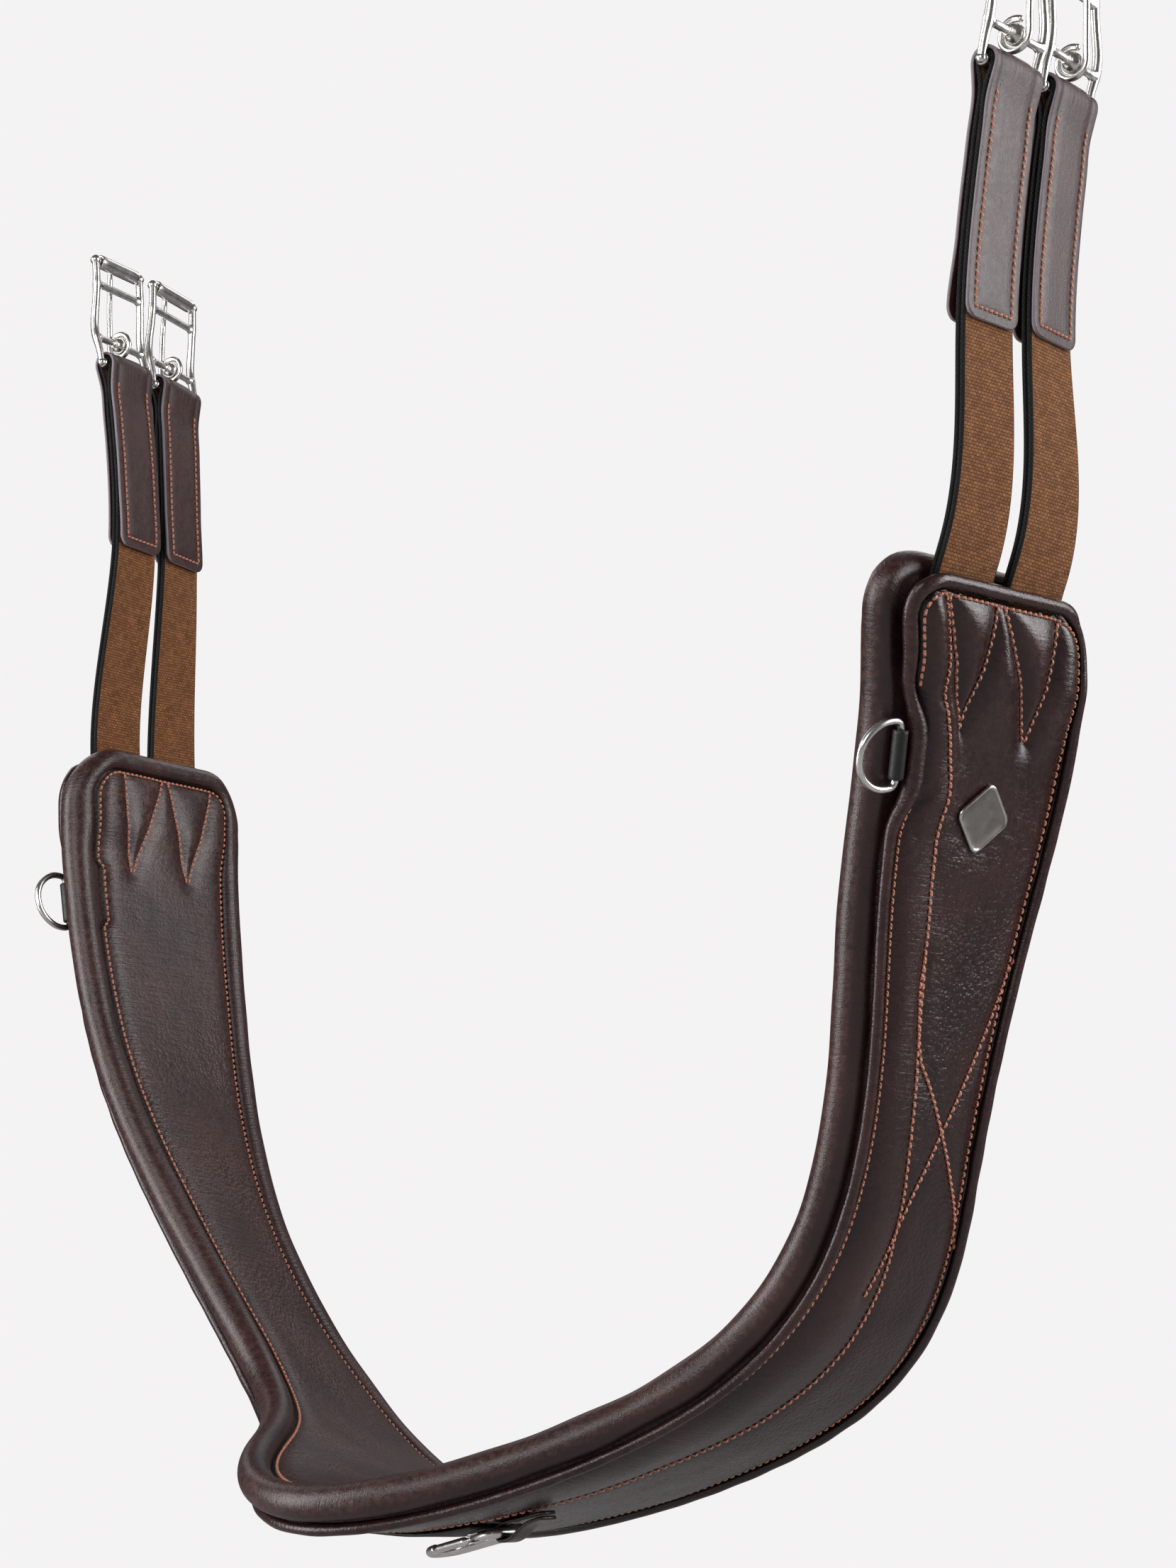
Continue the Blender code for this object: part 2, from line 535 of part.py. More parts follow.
def hairpin(run, path, width, thick):
    """Band folded over the buckle bar: path of (height above the bar, outward offset)."""
    path = np.array(path, float)
    depth = np.maximum(-path[:, 0], 0)
    over = np.maximum(path[:, 0], 0)
    order = np.argsort(run["below"])

    def read(key):
        return np.stack([np.interp(depth, run["below"][order], run[key][order, i]) for i in range(3)], -1)

    up, across, out = (unit(read(k)) for k in ("up", "across", "out"))
    centres = read("line") + over[:, None] * up + path[:, 1:] * out
    step = unit(np.gradient(path, axis=0))
    normal = -step[:, 1:] * up + step[:, :1] * out
    half = np.broadcast_to(np.asarray(width, float) / 2, len(path))
    h = thick / 2
    profile = np.array([[(-w, -h), (w, -h), (w, h), (-w, h)] for w in half])
    return loft(centres, across, normal, profile)


def fold(bottom, leaf, radius, near, steps):
    """Down one side, round the bar and down the other side."""
    low = list(np.linspace(-bottom, -near, steps))
    rise = [(h, -leaf) for h in low]
    rise += [(-near * 0.55, -(leaf * 0.55 + radius * 0.45)), (-near * 0.24, -radius * 0.93)]
    turn = [(radius * math.sin(a), -radius * math.cos(a)) for a in np.radians((0, 30, 60, 90, 120, 150, 180))]
    return rise + turn + [(h, -n) for h, n in rise[::-1]]


def elastic(run):
    bottom = run["below"][0] - 0.5
    leaf, radius = ELASTIC_T / 2 + 0.1, BAR_R + CLEAR + ELASTIC_T / 2
    return hairpin(run, fold(bottom, leaf, radius, 9, 17), ELASTIC_W, ELASTIC_T)


def chape(run):
    leaf = ELASTIC_T + 0.1 + CLEAR + CHAPE_T / 2
    radius = BAR_R + 2 * CLEAR + ELASTIC_T + CHAPE_T / 2
    path = fold(CHAPE_LEN, leaf, radius, 12, 8)
    ends = [(-CHAPE_LEN + 0.9, leaf), (-CHAPE_LEN + 3.2, leaf)]
    path = [path[0], (ends[0][0], -leaf), (ends[1][0], -leaf)] + path[1:-1] + [ends[1], ends[0], path[-1]]
    width = np.full(len(path), CHAPE_W)
    for i, narrow in ((0, 6.4), (1, 2.6), (2, 0.0), (-3, 0.0), (-2, 2.6), (-1, 6.4)):
        width[i] -= narrow
    return hairpin(run, path, width, CHAPE_T)


def buckle_solid():
    """Cast frame in its own axes: x across, y outward, z up from the bottom bar."""
    rail = ((0, 17.3, 0, 1.5), (7, 17.5, 0.7, 1.7), (14, 17.8, 2.0, 2.0), (20, 17.8, 2.5, 2.0), (28, 17.5, 1.7, 1.9),
            (37, 17.1, 0.7, 1.85), (46, 17.0, 0.1, 1.85), (53, 17.0, 0, 1.8))
    rails = [tube([(x * side, y, z) for z, x, y, _ in rail], [r for *_, r in rail], 8, up=(0.0, 1.0, 0.0))
             for side in (-1, 1)]
    bars = [tube([(-x, y, z), (0, y, z), (x, y, z)], r, sides, up=(0.0, 1.0, 0.0), squash=q)
            for x, y, z, r, sides, q in ((17.3, 0, 0, BAR_R, 8, 1), (17.7, PIVOT_N, PIVOT_H, 1.6, 8, 1),
                                         (16.8, 0.45, CROSSBAR_H, 1.75, 8, 0.7),
                                         (17.0, 0, ROLLER_H, AXLE_R, 10, 1))]
    balls = [ball((17.1 * side, 0, ROLLER_H), 2.35, 6, 10) for side in (-1, 1)]
    feet = [ball((17.3 * side, 0, 0), 1.9, 6, 8) for side in (-1, 1)]
    boss = ball((0, PIVOT_N, PIVOT_H), PIVOT_BALL_R, 8, 12)
    return combine(rails[:1] + bars + rails[1:] + balls + feet + [boss])


def tongue_solid():
    ring_path = [(0, PIVOT_N + TONGUE_RING_R * math.cos(a), PIVOT_H + TONGUE_RING_R * math.sin(a))
                 for a in np.radians(np.arange(-290, 1, 24.166667))]
    tip_y = ROLLER_R + CLEAR + TONGUE_WIRE_R
    rise = [(0, 7.5, PIVOT_H + 5), (0, 6.9, PIVOT_H + 14), (0, 6.0, PIVOT_H + 26),
            (0, tip_y + 0.3, ROLLER_H - 5), (0, tip_y, ROLLER_H), (0, tip_y - 0.2, ROLLER_H + 4)]
    radius = [TONGUE_WIRE_R] * (len(ring_path) + 5) + [0.8]
    return tube(ring_path + rise, radius, 8, up=(1.0, 0.0, 0.0))


def roller_solid():
    profile = ((ROLLER_BORE_R, -ROLLER_HALF), (ROLLER_R, -ROLLER_HALF), (ROLLER_R, ROLLER_HALF),
               (ROLLER_BORE_R, ROLLER_HALF))
    a = np.arange(14) * 2 * math.pi / 14
    rows = np.array([[(x, r * math.cos(b), ROLLER_H + r * math.sin(b)) for r, x in profile] for b in a])
    faces = [(i * 4 + j, i * 4 + (j + 1) % 4, ((i + 1) % 14) * 4 + (j + 1) % 4, ((i + 1) % 14) * 4 + j)
             for i in range(14) for j in range(4)]
    return rows.reshape(-1, 3), faces


def buckle_frame_axes(key, run):
    bar, top = (np.array(p, float) for p in STRAPS[key][2][1:])
    up = unit(top - bar)
    across = run["across"][-1]
    across = unit(across - across.dot(up) * up)
    return run["line"][-1], across, STRAPS[key][0] * np.cross(across, up), up


def add_straps(girth):
    frame, tongue, roller = raw(buckle_solid()), tongue_solid(), roller_solid()
    for key in STRAPS:
        run = strap_run(key)
        axes = buckle_frame_axes(key, run)
        at_pivot = in_frame(axes, [(0, PIVOT_N, PIVOT_H)])[0]
        at_roller = in_frame(axes, [(0, 0, ROLLER_H)])[0]
        add("elastic_" + key, elastic(run), ELASTIC, girth)
        cover = add("chape_" + key, chape(run), LEATHER, girth, run["line"][-1])
        buckle = add("buckle_" + key, (in_frame(axes, frame[0]), frame[1]), STEEL, cover, axes[0])
        add("tongue_" + key, (in_frame(axes, tongue[0]), tongue[1]), STEEL, buckle, at_pivot)
        add("roller_" + key, (in_frame(axes, roller[0]), roller[1]), STEEL, buckle, at_roller)


def build():
    for obj in list(bpy.data.objects):
        bpy.data.objects.remove(obj)
    girth = add("lining_leather", lining(), LEATHER_LINING)
    add("foam_core", foam(), FOAM, girth)
    add("load_web_front", load_web(-1), WEB, girth)
    add("load_web_rear", load_web(1), WEB, girth)
    add("outer_panel", outer_panel(), LEATHER, girth)
    add("piping", piping(), LEATHER, girth)
    add("badge", badge(), STEEL_SATIN, girth)
    for side, s in (("left", DRING_S), ("right", LENGTH - DRING_S)):
        ring_mesh, hinge = dring(s)
        add("dring_tab_" + side, dring_tab(s), LEATHER_DARK, girth)
        add("dring_" + side, ring_mesh, STEEL, girth, hinge)
    add("hook_guard", hook_guard(), LEATHER_DARK, girth)
    add("hook_tab", hook_tab(), LEATHER, girth)
    pieces, swing, pivot = hook_pieces()
    hook = add("hook_body", pieces["hook_body"], STEEL, girth, swing)
    add("hook_pin", pieces["hook_pin"], STEEL_SATIN, hook, pivot)
    add("hook_spring", pieces["hook_spring"], STEEL_SATIN, hook, pivot)
    add("hook_gate", pieces["hook_gate"], STEEL, hook, pivot)
    add_straps(girth)


build()
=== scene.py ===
"""Looks of the leather saddle girth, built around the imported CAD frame.
Girth space is (s, t, n) in mm: s along the body from the left end seam, t across it towards
the back edge, n outward.  Row frame = millimetres minus HANG, in metres."""
import math

import bmesh
import bpy
import numpy as np
from mathutils import Matrix, Vector, kdtree


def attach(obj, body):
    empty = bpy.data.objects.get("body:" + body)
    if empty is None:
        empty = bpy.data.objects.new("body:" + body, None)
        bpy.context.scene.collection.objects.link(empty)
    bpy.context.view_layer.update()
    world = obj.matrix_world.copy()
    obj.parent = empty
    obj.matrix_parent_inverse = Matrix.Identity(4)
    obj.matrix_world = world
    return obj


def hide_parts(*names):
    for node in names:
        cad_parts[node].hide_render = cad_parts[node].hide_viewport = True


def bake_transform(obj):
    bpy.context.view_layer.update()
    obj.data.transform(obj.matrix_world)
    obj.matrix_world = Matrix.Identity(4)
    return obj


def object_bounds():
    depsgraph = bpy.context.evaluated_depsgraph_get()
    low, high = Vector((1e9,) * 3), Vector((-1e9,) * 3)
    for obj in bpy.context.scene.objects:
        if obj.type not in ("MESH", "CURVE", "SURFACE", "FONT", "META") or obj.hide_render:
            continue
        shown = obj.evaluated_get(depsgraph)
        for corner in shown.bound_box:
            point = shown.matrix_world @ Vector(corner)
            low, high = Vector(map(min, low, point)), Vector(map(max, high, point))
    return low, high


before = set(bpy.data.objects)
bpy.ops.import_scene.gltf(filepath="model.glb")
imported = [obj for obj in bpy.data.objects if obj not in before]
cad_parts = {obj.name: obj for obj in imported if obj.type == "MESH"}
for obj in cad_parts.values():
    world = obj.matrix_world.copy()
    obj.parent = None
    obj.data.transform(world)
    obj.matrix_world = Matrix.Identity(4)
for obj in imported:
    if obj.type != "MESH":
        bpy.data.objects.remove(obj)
cad_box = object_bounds()

MM = 0.001
HANG = np.array((18.0, 0.0, 578.0))
rng = np.random.default_rng(7)

# ------------------------------------------------------------------ shape of the body, as in the CAD
MID_X = (-257, -252, -227, -176, -103, -1, 122, 188, 216, 243, 262)
MID_Y = (1, -3, -10, -14, -13, -5, 6, 15, 19, 14, -2)
MID_Z = (335, 286, 192, 101, 26, 1, 46, 134, 218, 284, 328)
TWIST = (13, 8, 10, 18, 18, 3, 0, 1, 3, 4, -1)
FRONT = (47, 40, 30, 12, 26, 98, 26, 12, 30, 40, 47)
BACK = (43, 40, 39, 44, 64, 29, 64, 44, 39, 40, 43)
LONG_STITCH = (-33, -25, -12, 8, 13, -62, 13, 8, -12, -25, -33)
SEAM_CORNER, ROLL_OUT, ROLL_N, ROLL_R, END_TUCK = 14.0, 7.1, -4.4, 7.1, 0.24
PANEL_UNDER, PIPING_R, END_SINK, END_LIFT = 3.4, 2.25, 3.0, 3.9
DRING_S, DRING_INSET, DRING_LIFT = 63.0, 5.0, 1.9
DRING_N, DRING_OUT, DRING_WIRE_R = 6.4, 5.4, 1.4
HOOK_S, HOOK_T, HOOK_N, HOOK_WIRE_R = 503.0, -35.0, 11.2, 2.0
BADGE_S, BADGE_T = 840.0, 2.0
STRAP_OFFSET, ELASTIC_W, ELASTIC_T = 20.0, 30.0, 2.0
CHAPE_W, CHAPE_T, CHAPE_LEN, CLEAR = 31.0, 1.5, 92.0, 0.3
BAR_R, PIVOT_H, PIVOT_N, PIVOT_BALL_R = 1.7, 13.5, 1.9, 4.1
CROSSBAR_H, ROLLER_H, ROLLER_R = 41.0, 53.0, 3.3
TONGUE_RING_R, TONGUE_WIRE_R = 5.9, 1.3
# side, place across, lower end of the chape, buckle bar and roller (mm), turn about Z (degrees)
STRAPS = {
    "left_front": (-1, -STRAP_OFFSET, ((-248, -16, 444), (-254.5, -18.3, 538), (-259, -20, 591)), (108, 107)),
    "left_rear": (-1, STRAP_OFFSET, ((-258.5, 17.5, 441), (-266.5, 20.2, 537), (-271, 21.7, 590)),
                  (111, 109)),
    "right_front": (1, -STRAP_OFFSET, ((282.2, -22, 423.4), (296.5, -21.5, 512), (304.5, -21.5, 564)),
                    (94, 97)),
    "right_rear": (1, STRAP_OFFSET, ((277.6, 19, 425), (291, 18.9, 515), (298, 18.9, 567)), (99, 100)),
}


def spline(knots, values, at):
    """Natural cubic spline through the values, read at the given places."""
    k, v, x = (np.asarray(a, float) for a in (knots, values, at))
    h = np.diff(k)
    system, rhs = np.eye(len(k)), np.zeros(len(k))
    for i in range(1, len(k) - 1):
        system[i, i - 1:i + 2] = h[i - 1], 2 * (h[i - 1] + h[i]), h[i]
        rhs[i] = 6 * ((v[i + 1] - v[i]) / h[i] - (v[i] - v[i - 1]) / h[i - 1])
    m = np.linalg.solve(system, rhs)
    i = np.clip(np.searchsorted(k, x) - 1, 0, len(k) - 2)
    a, b, hi = k[i + 1] - x, x - k[i], h[i]
    return ((m[i] * a ** 3 + m[i + 1] * b ** 3) / (6 * hi)
            + (v[i] / hi - m[i] * hi / 6) * a + (v[i + 1] / hi - m[i + 1] * hi / 6) * b)


def unit(rows):
    """Each row scaled to length one."""
    rows = np.asarray(rows, float)
    return rows / np.linalg.norm(rows, axis=-1, keepdims=True)


def run_length(path):
    """Length run along a path up to each of its points."""
    return np.concatenate([[0], np.cumsum(np.linalg.norm(np.diff(path, axis=0), axis=1))])


STATION, FINE = np.arange(11.0), np.linspace(0, 10, 801)
CENTRE = np.stack([spline(STATION, c, FINE) for c in (MID_X, MID_Y, MID_Z)], -1)
ARC = run_length(CENTRE)
LENGTH = float(ARC[-1])
TANGENT = unit(np.gradient(CENTRE, axis=0) * (1, 0, 1))
TURN = np.radians(spline(STATION, TWIST, FINE))[:, None]
Y_AXIS = np.array((0.0, 1.0, 0.0))
FLAT_OUT = -np.cross(TANGENT, Y_AXIS)
ACROSS = np.cos(TURN) * Y_AXIS + np.sin(TURN) * FLAT_OUT
OUTWARD = np.cos(TURN) * FLAT_OUT - np.sin(TURN) * Y_AXIS
FRONT_EDGE, BACK_EDGE = spline(STATION, FRONT, FINE), spline(STATION, BACK, FINE)
LONG_LINE = spline(STATION, LONG_STITCH, FINE)


def along(table, s):
    """Value or vector of a table of the body's curve at s."""
    s = np.clip(s, 0, LENGTH)
    if table.ndim == 1:
        return np.interp(s, ARC, table)
    return np.stack([np.interp(s, ARC, table[:, i]) for i in range(3)], -1)


def place(s, t, n):
    """Point in space (mm) of girth coordinates; beyond the ends the body goes on straight."""
    s, t, n = np.broadcast_arrays(*(np.asarray(a, float) for a in (s, t, n)))
    beyond = s - np.clip(s, 0, LENGTH)
    return (along(CENTRE, s) + beyond[..., None] * unit(along(TANGENT, s))
            + t[..., None] * unit(along(ACROSS, s)) + n[..., None] * unit(along(OUTWARD, s)))


def middle(s):
    """Place of the middle between the two seams, in t."""
    return (along(BACK_EDGE, s) - along(FRONT_EDGE, s)) / 2


def smooth(x):
    """Soft step from 0 to 1."""
    x = np.clip(x, 0, 1)
    return x * x * (3 - 2 * x)


def near_end(s):
    """Distance to the nearer end of the body."""
    return np.minimum(s, LENGTH - s)


def end_zone(s, t):
    """One where the straps lie inside the body's ends, nought elsewhere."""
    return smooth((44 - near_end(s)) / 20) * smooth((56 - np.abs(t - middle(s))) / 19)


def dring_zone(s, t):
    """One along the front edge beside a D-ring, nought elsewhere."""
    front = smooth((-(t - middle(s)) - 14) / 12)
    return np.exp(-((near_end(s) - DRING_S) / 21) ** 4) * front


def ripple(s, t, size, count=7, stretch=1.0, seed=1):
    """Smooth uneven surface between about -1 and 1, with waves of roughly the given size in mm."""
    draw = np.random.default_rng(seed)
    total = 0
    for _ in range(count):
        angle, phase = draw.uniform(0, math.pi), draw.uniform(0, 2 * math.pi)
        rate = 2 * math.pi / (size * draw.uniform(0.7, 1.6))
        total = total + np.sin(rate * (np.cos(angle) * s + np.sin(angle) * t / stretch) + phase)
    return total / math.sqrt(count)


# ------------------------------------------------------------------ mesh helpers
def piece(name, verts, faces, looks, lay=None, marks=None, face_slot=None, body="girth",
          replaces=()):
    """Mesh object in the row frame with its materials, pattern coordinates (mm) and marks."""
    mesh = bpy.data.meshes.new(name)
    points = (np.asarray(verts, float) - HANG) * MM
    mesh.from_pydata(points.tolist(), [], [tuple(f) for f in faces])
    for look in looks if isinstance(looks, (list, tuple)) else [looks]:
        mesh.materials.append(look)
    if lay is not None:
        made = mesh.attributes.new("lay", "FLOAT_VECTOR", "POINT")
        made.data.foreach_set("vector", np.asarray(lay, np.float32).ravel())
    for key, values in (marks or {}).items():
        made = mesh.attributes.new(key, "FLOAT", "POINT")
        made.data.foreach_set("value", np.asarray(values, np.float32).ravel())
    if face_slot is not None:
        mesh.polygons.foreach_set("material_index", np.asarray(face_slot, np.int32))
    bm = bmesh.new()
    bm.from_mesh(mesh)
    bmesh.ops.recalc_face_normals(bm, faces=bm.faces)
    bm.to_mesh(mesh)
    bm.free()
    mesh.polygons.foreach_set("use_smooth", np.ones(len(mesh.polygons), bool))
    obj = bpy.data.objects.new(name, mesh)
    bpy.context.scene.collection.objects.link(obj)
    if body:
        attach(obj, body)
    if replaces:
        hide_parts(*replaces)
    return obj


def join_parts(parts):
    """One list of points, faces and pattern coordinates from several (points, faces, lay)."""
    verts, faces, lays, base = [], [], [], 0
    for part in parts:
        v = np.asarray(part[0], float)
        verts.append(v)
        faces += [tuple(int(i) + base for i in f) for f in part[1]]
        lays.append(part[2] if len(part) > 2 else v - v.mean(0))
        base += len(v)
    return np.concatenate(verts), faces, np.concatenate(lays)


def ring_quads(rings, sides, closed=False):
    """Four-sided faces between neighbouring rings of points."""
    return [(i * sides + j, i * sides + (j + 1) % sides, (i + 1) % rings * sides + (j + 1) % sides,
             (i + 1) % rings * sides + j)
            for i in range(rings if closed else rings - 1) for j in range(sides)]


def ring_caps(rings, sides):
    """Flat faces on the first and the last ring."""
    return [tuple(range(sides))[::-1], tuple(range((rings - 1) * sides, rings * sides))]


def loft(centres, u_axes, v_axes, profile, closed=False):
    """Closed solid or ring through one profile, or one profile per centre."""
    centres, u_axes, v_axes = (np.asarray(a, float) for a in (centres, u_axes, v_axes))
    profile = np.asarray(profile, float)
    if profile.ndim == 2:
        profile = np.broadcast_to(profile, (len(centres),) + profile.shape)
    rows = (centres[:, None] + profile[..., :1] * np.broadcast_to(u_axes, centres.shape)[:, None]
            + profile[..., 1:] * np.broadcast_to(v_axes, centres.shape)[:, None])
    rings, sides = len(centres), profile.shape[1]
    faces = ring_quads(rings, sides, closed)
    if not closed:
        faces += ring_caps(rings, sides)
    return rows.reshape(-1, 3), faces


def circle(radius, sides, squash=1.0):
    """Points of a circle or of a flattened one."""
    a = np.arange(sides) * 2 * math.pi / sides
    return np.stack([radius * np.cos(a), radius * squash * np.sin(a)], -1)


def finer(path, count, closed=False):
    """The same path through more points, rounded between them."""
    path = np.asarray(path, float)
    wrap = 3
    if closed:
        path = np.concatenate([path[-wrap:], path, path[:wrap + 1]])
    knot = run_length(path)
    if closed:
        at = np.linspace(knot[wrap], knot[-wrap - 1], count, endpoint=False)
    else:
        at = np.linspace(0, knot[-1], count)
    return np.stack([spline(knot, path[:, i], at) for i in range(path.shape[1])], -1)


def tube(path, radius, sides=16, closed=False, up=(0.0, 0.0, 1.0), squash=1.0, round_ends=0.0):
    """Round bar along a path; its lay runs (round, along, 0) in mm."""
    path = np.asarray(path, float)
    step = np.roll(path, -1, 0) - np.roll(path, 1, 0) if closed else np.gradient(path, axis=0)
    step = unit(step)
    radius = np.array(np.broadcast_to(np.asarray(radius, float), len(path)))
    if round_ends and not closed:
        bulge = np.array((0.0, 0.35, 0.66, 0.88))
        for sign, at in ((-1, 0), (1, -1)):
            ahead = path[at] + sign * step[at] * round_ends * np.sqrt(1 - bulge ** 2)[:, None]
            ring_radius, many = radius[at] * np.maximum(bulge, 0.04), np.repeat(step[at][None], 4, 0)
            joined = ((ahead, path), (ring_radius, radius), (many, step))
            if sign > 0:
                joined = ((path, ahead[::-1]), (radius, ring_radius[::-1]), (step, many))
            path, radius, step = (np.concatenate(pair) for pair in joined)
    u_axis = unit(np.cross(np.broadcast_to(up, path.shape), step))
    v_axis = np.cross(step, u_axis)
    profile = circle(1.0, sides, squash)[None] * radius[:, None, None]
    verts, faces = loft(path, u_axis, v_axis, profile, closed)
    run = np.repeat(run_length(path), sides)
    around = np.arange(sides) / sides * 2 * math.pi
    lay = np.stack([np.tile(around * radius.mean(), len(path)), run, 0 * run], -1)
    return verts, faces, lay


def ball(centre, radius, rings=14, sides=22, squash=(1, 1, 1)):
    """Sphere, or one squashed along the axes."""
    bm = bmesh.new()
    bmesh.ops.create_uvsphere(bm, u_segments=sides, v_segments=rings, radius=radius)
    verts = np.array([v.co for v in bm.verts]) * squash + np.asarray(centre, float)
    faces = [tuple(v.index for v in f.verts) for f in bm.faces]
    bm.free()
    return verts, faces


def in_frame(axes, rows):
    """Points given along three axes from an origin, moved to their place in space."""
    origin, x_axis, y_axis, z_axis = axes
    rows = np.asarray(rows, float)
    return origin + rows[:, :1] * x_axis + rows[:, 1:2] * y_axis + rows[:, 2:3] * z_axis


# ------------------------------------------------------------------ materials
def nodes_of(name, rough, metal=0.0):
    """New material with its node tree and main shader."""
    mat = bpy.data.materials.new(name)
    mat.use_nodes = True
    tree = mat.node_tree
    shader = tree.nodes["Principled BSDF"]
    shader.inputs["Roughness"].default_value = rough
    shader.inputs["Metallic"].default_value = metal
    return mat, tree, shader


def node(tree, kind, links=None, **settings):
    """New node with its settings, input values and links."""
    made = tree.nodes.new(kind)
    for key, value in settings.items():
        if hasattr(made, key) and key not in made.inputs:
            setattr(made, key, value)
        else:
            made.inputs[key].default_value = value
    for key, source in (links or {}).items():
        tree.links.new(source, made.inputs[key])
    return made


def math_node(tree, operation, a, b, clamp=False):
    """Sum, difference or product of two sockets or numbers."""
    made = tree.nodes.new("ShaderNodeMath")
    made.operation, made.use_clamp = operation, clamp
    for i, value in enumerate((a, b)):
        if isinstance(value, (int, float)):
            made.inputs[i].default_value = value
        else:
            tree.links.new(value, made.inputs[i])
    return made.outputs[0]


def times(tree, a, b, clamp=False):
    """Product of two sockets or numbers."""
    return math_node(tree, "MULTIPLY", a, b, clamp)


def shaded(colour, factor):
    """The same colour, darker or lighter."""
    return tuple(factor * c for c in colour)


def lay_coords(tree, scale=(1.0, 1.0, 1.0)):
    """Pattern coordinates in mm, as the pieces carry them."""
    source = node(tree, "ShaderNodeAttribute", attribute_name="lay").outputs["Vector"]
    mapping = node(tree, "ShaderNodeMapping", {"Vector": source})
    mapping.inputs["Scale"].default_value = scale
    return mapping.outputs[0]


def mark(tree, key):
    """One of the marks that the pieces carry, from 0 to 1."""
    return node(tree, "ShaderNodeAttribute", attribute_name=key).outputs["Fac"]


def noise(tree, coords, scale, detail=3.0, rough=0.55):
    """Cloudy pattern; its scale is in waves per mm on pattern coordinates."""
    made = node(tree, "ShaderNodeTexNoise", {"Vector": coords})
    made.inputs["Scale"].default_value = scale
    made.inputs["Detail"].default_value = detail
    made.inputs["Roughness"].default_value = rough
    return made.outputs["Fac"]


def ramp(tree, fac, low, high):
    """Black up to low, white from high on."""
    made = node(tree, "ShaderNodeValToRGB", {"Fac": fac})
    for stop, at, level in zip(made.color_ramp.elements, (low, high), (0, 1)):
        stop.position, stop.color = at, (level, level, level, 1)
    return made.outputs["Color"]


def mix_colour(tree, fac, a, b, blend="MIX"):
    """Mix of two colours, each a socket or three numbers."""
    made = tree.nodes.new("ShaderNodeMix")
    made.data_type, made.blend_type = "RGBA", blend
    for i, value in ((0, fac), (6, a), (7, b)):
        if isinstance(value, (int, float)):
            made.inputs[i].default_value = value
        elif isinstance(value, tuple):
            made.inputs[i].default_value = (*value, 1.0)
        else:
            tree.links.new(value, made.inputs[i])
    return made.outputs[2]


def bump_chain(tree, shader, heights):
    """Bumps one over another: (height socket, depth in metres)."""
    normal = None
    for height, depth in heights:
        links = {"Height": height}
        if normal is not None:
            links["Normal"] = normal
        made = node(tree, "ShaderNodeBump", links)
        made.inputs["Distance"].default_value = depth
        made.inputs["Strength"].default_value = 1.0
        normal = made.outputs["Normal"]
    tree.links.new(normal, shader.inputs["Normal"])


def leather(name, dark, light, worn, rough, pebble=1.0, folds=1.0):
    """Waxed leather: pores, pebbled creases, folds across the strap, wear, and painted shade that darkens
    seams, creases and the hollows between pebbles.
    """
    mat, tree, shader = nodes_of(name, rough)
    coords = lay_coords(tree)
    patch = noise(tree, coords, 0.028, 4.0)
    fine = noise(tree, coords, 0.35, 5.0, 0.6)
    tone = math_node(tree, "ADD", times(tree, patch, 0.75), times(tree, fine, 0.25))
    colour = mix_colour(tree, ramp(tree, tone, 0.36, 0.66), dark, light)
    wear = times(tree, mark(tree, "wear"), ramp(tree, fine, 0.42, 0.68))
    colour = mix_colour(tree, wear, colour, worn)
    # painted shade: darker along stitch grooves, seams and recesses
    colour = mix_colour(tree, times(tree, mark(tree, "crease_shade"), 0.75), colour, shaded(dark, 0.35))
    cells = node(tree, "ShaderNodeTexVoronoi", {"Vector": coords}, feature="SMOOTH_F1")
    cells.inputs["Scale"].default_value = 0.62
    cells.inputs["Smoothness"].default_value = 0.35
    pores = node(tree, "ShaderNodeTexVoronoi", {"Vector": lay_coords(tree, (2.1, 2.1, 2.1))}, feature="F1")
    pores.inputs["Scale"].default_value = 1.0
    folded = noise(tree, lay_coords(tree, (0.85, 0.075, 0.2)), 1.0, 4.0, 0.6)
    scratch = noise(tree, lay_coords(tree, (0.50, 0.022, 0.022)), 1.0, 2.0, 0.35)
    scuffed = times(tree, ramp(tree, scratch, 0.655, 0.69), times(tree, mark(tree, "wear"), 1.3))
    colour = mix_colour(tree, times(tree, scuffed, 0.5, True), colour, worn)
    creased = times(tree, cells.outputs["Distance"], mark(tree, "pebble"))
    # painted shade in the hollows between the grain's pebbles
    colour = mix_colour(tree, times(tree, creased, 0.35 * pebble, True), colour, shaded(dark, 0.5))
    tree.links.new(colour, shader.inputs["Base Color"])
    folds_h = times(tree, folded, mark(tree, "folds"))
    creased = times(tree, creased, -1.0)
    pored = times(tree, pores.outputs["Distance"], -1.0)
    bump_chain(tree, shader, ((folds_h, 0.0008 * folds), (creased, 0.00042 * pebble), (pored, 0.00006),
                              (fine, 0.00007)))
    spread = times(tree, math_node(tree, "SUBTRACT", fine, 0.5), 0.30)
    tree.links.new(math_node(tree, "ADD", spread, rough, True), shader.inputs["Roughness"])
    return mat


def cut_edge(name, colour):
    """Pale cut edge of a strap."""
    mat, tree, shader = nodes_of(name, 0.6)
    coords = lay_coords(tree)
    fine = noise(tree, coords, 1.3, 4.0, 0.65)
    tree.links.new(mix_colour(tree, fine, shaded(colour, 0.55), colour), shader.inputs["Base Color"])
    bump_chain(tree, shader, ((fine, 0.0003),))
    return mat


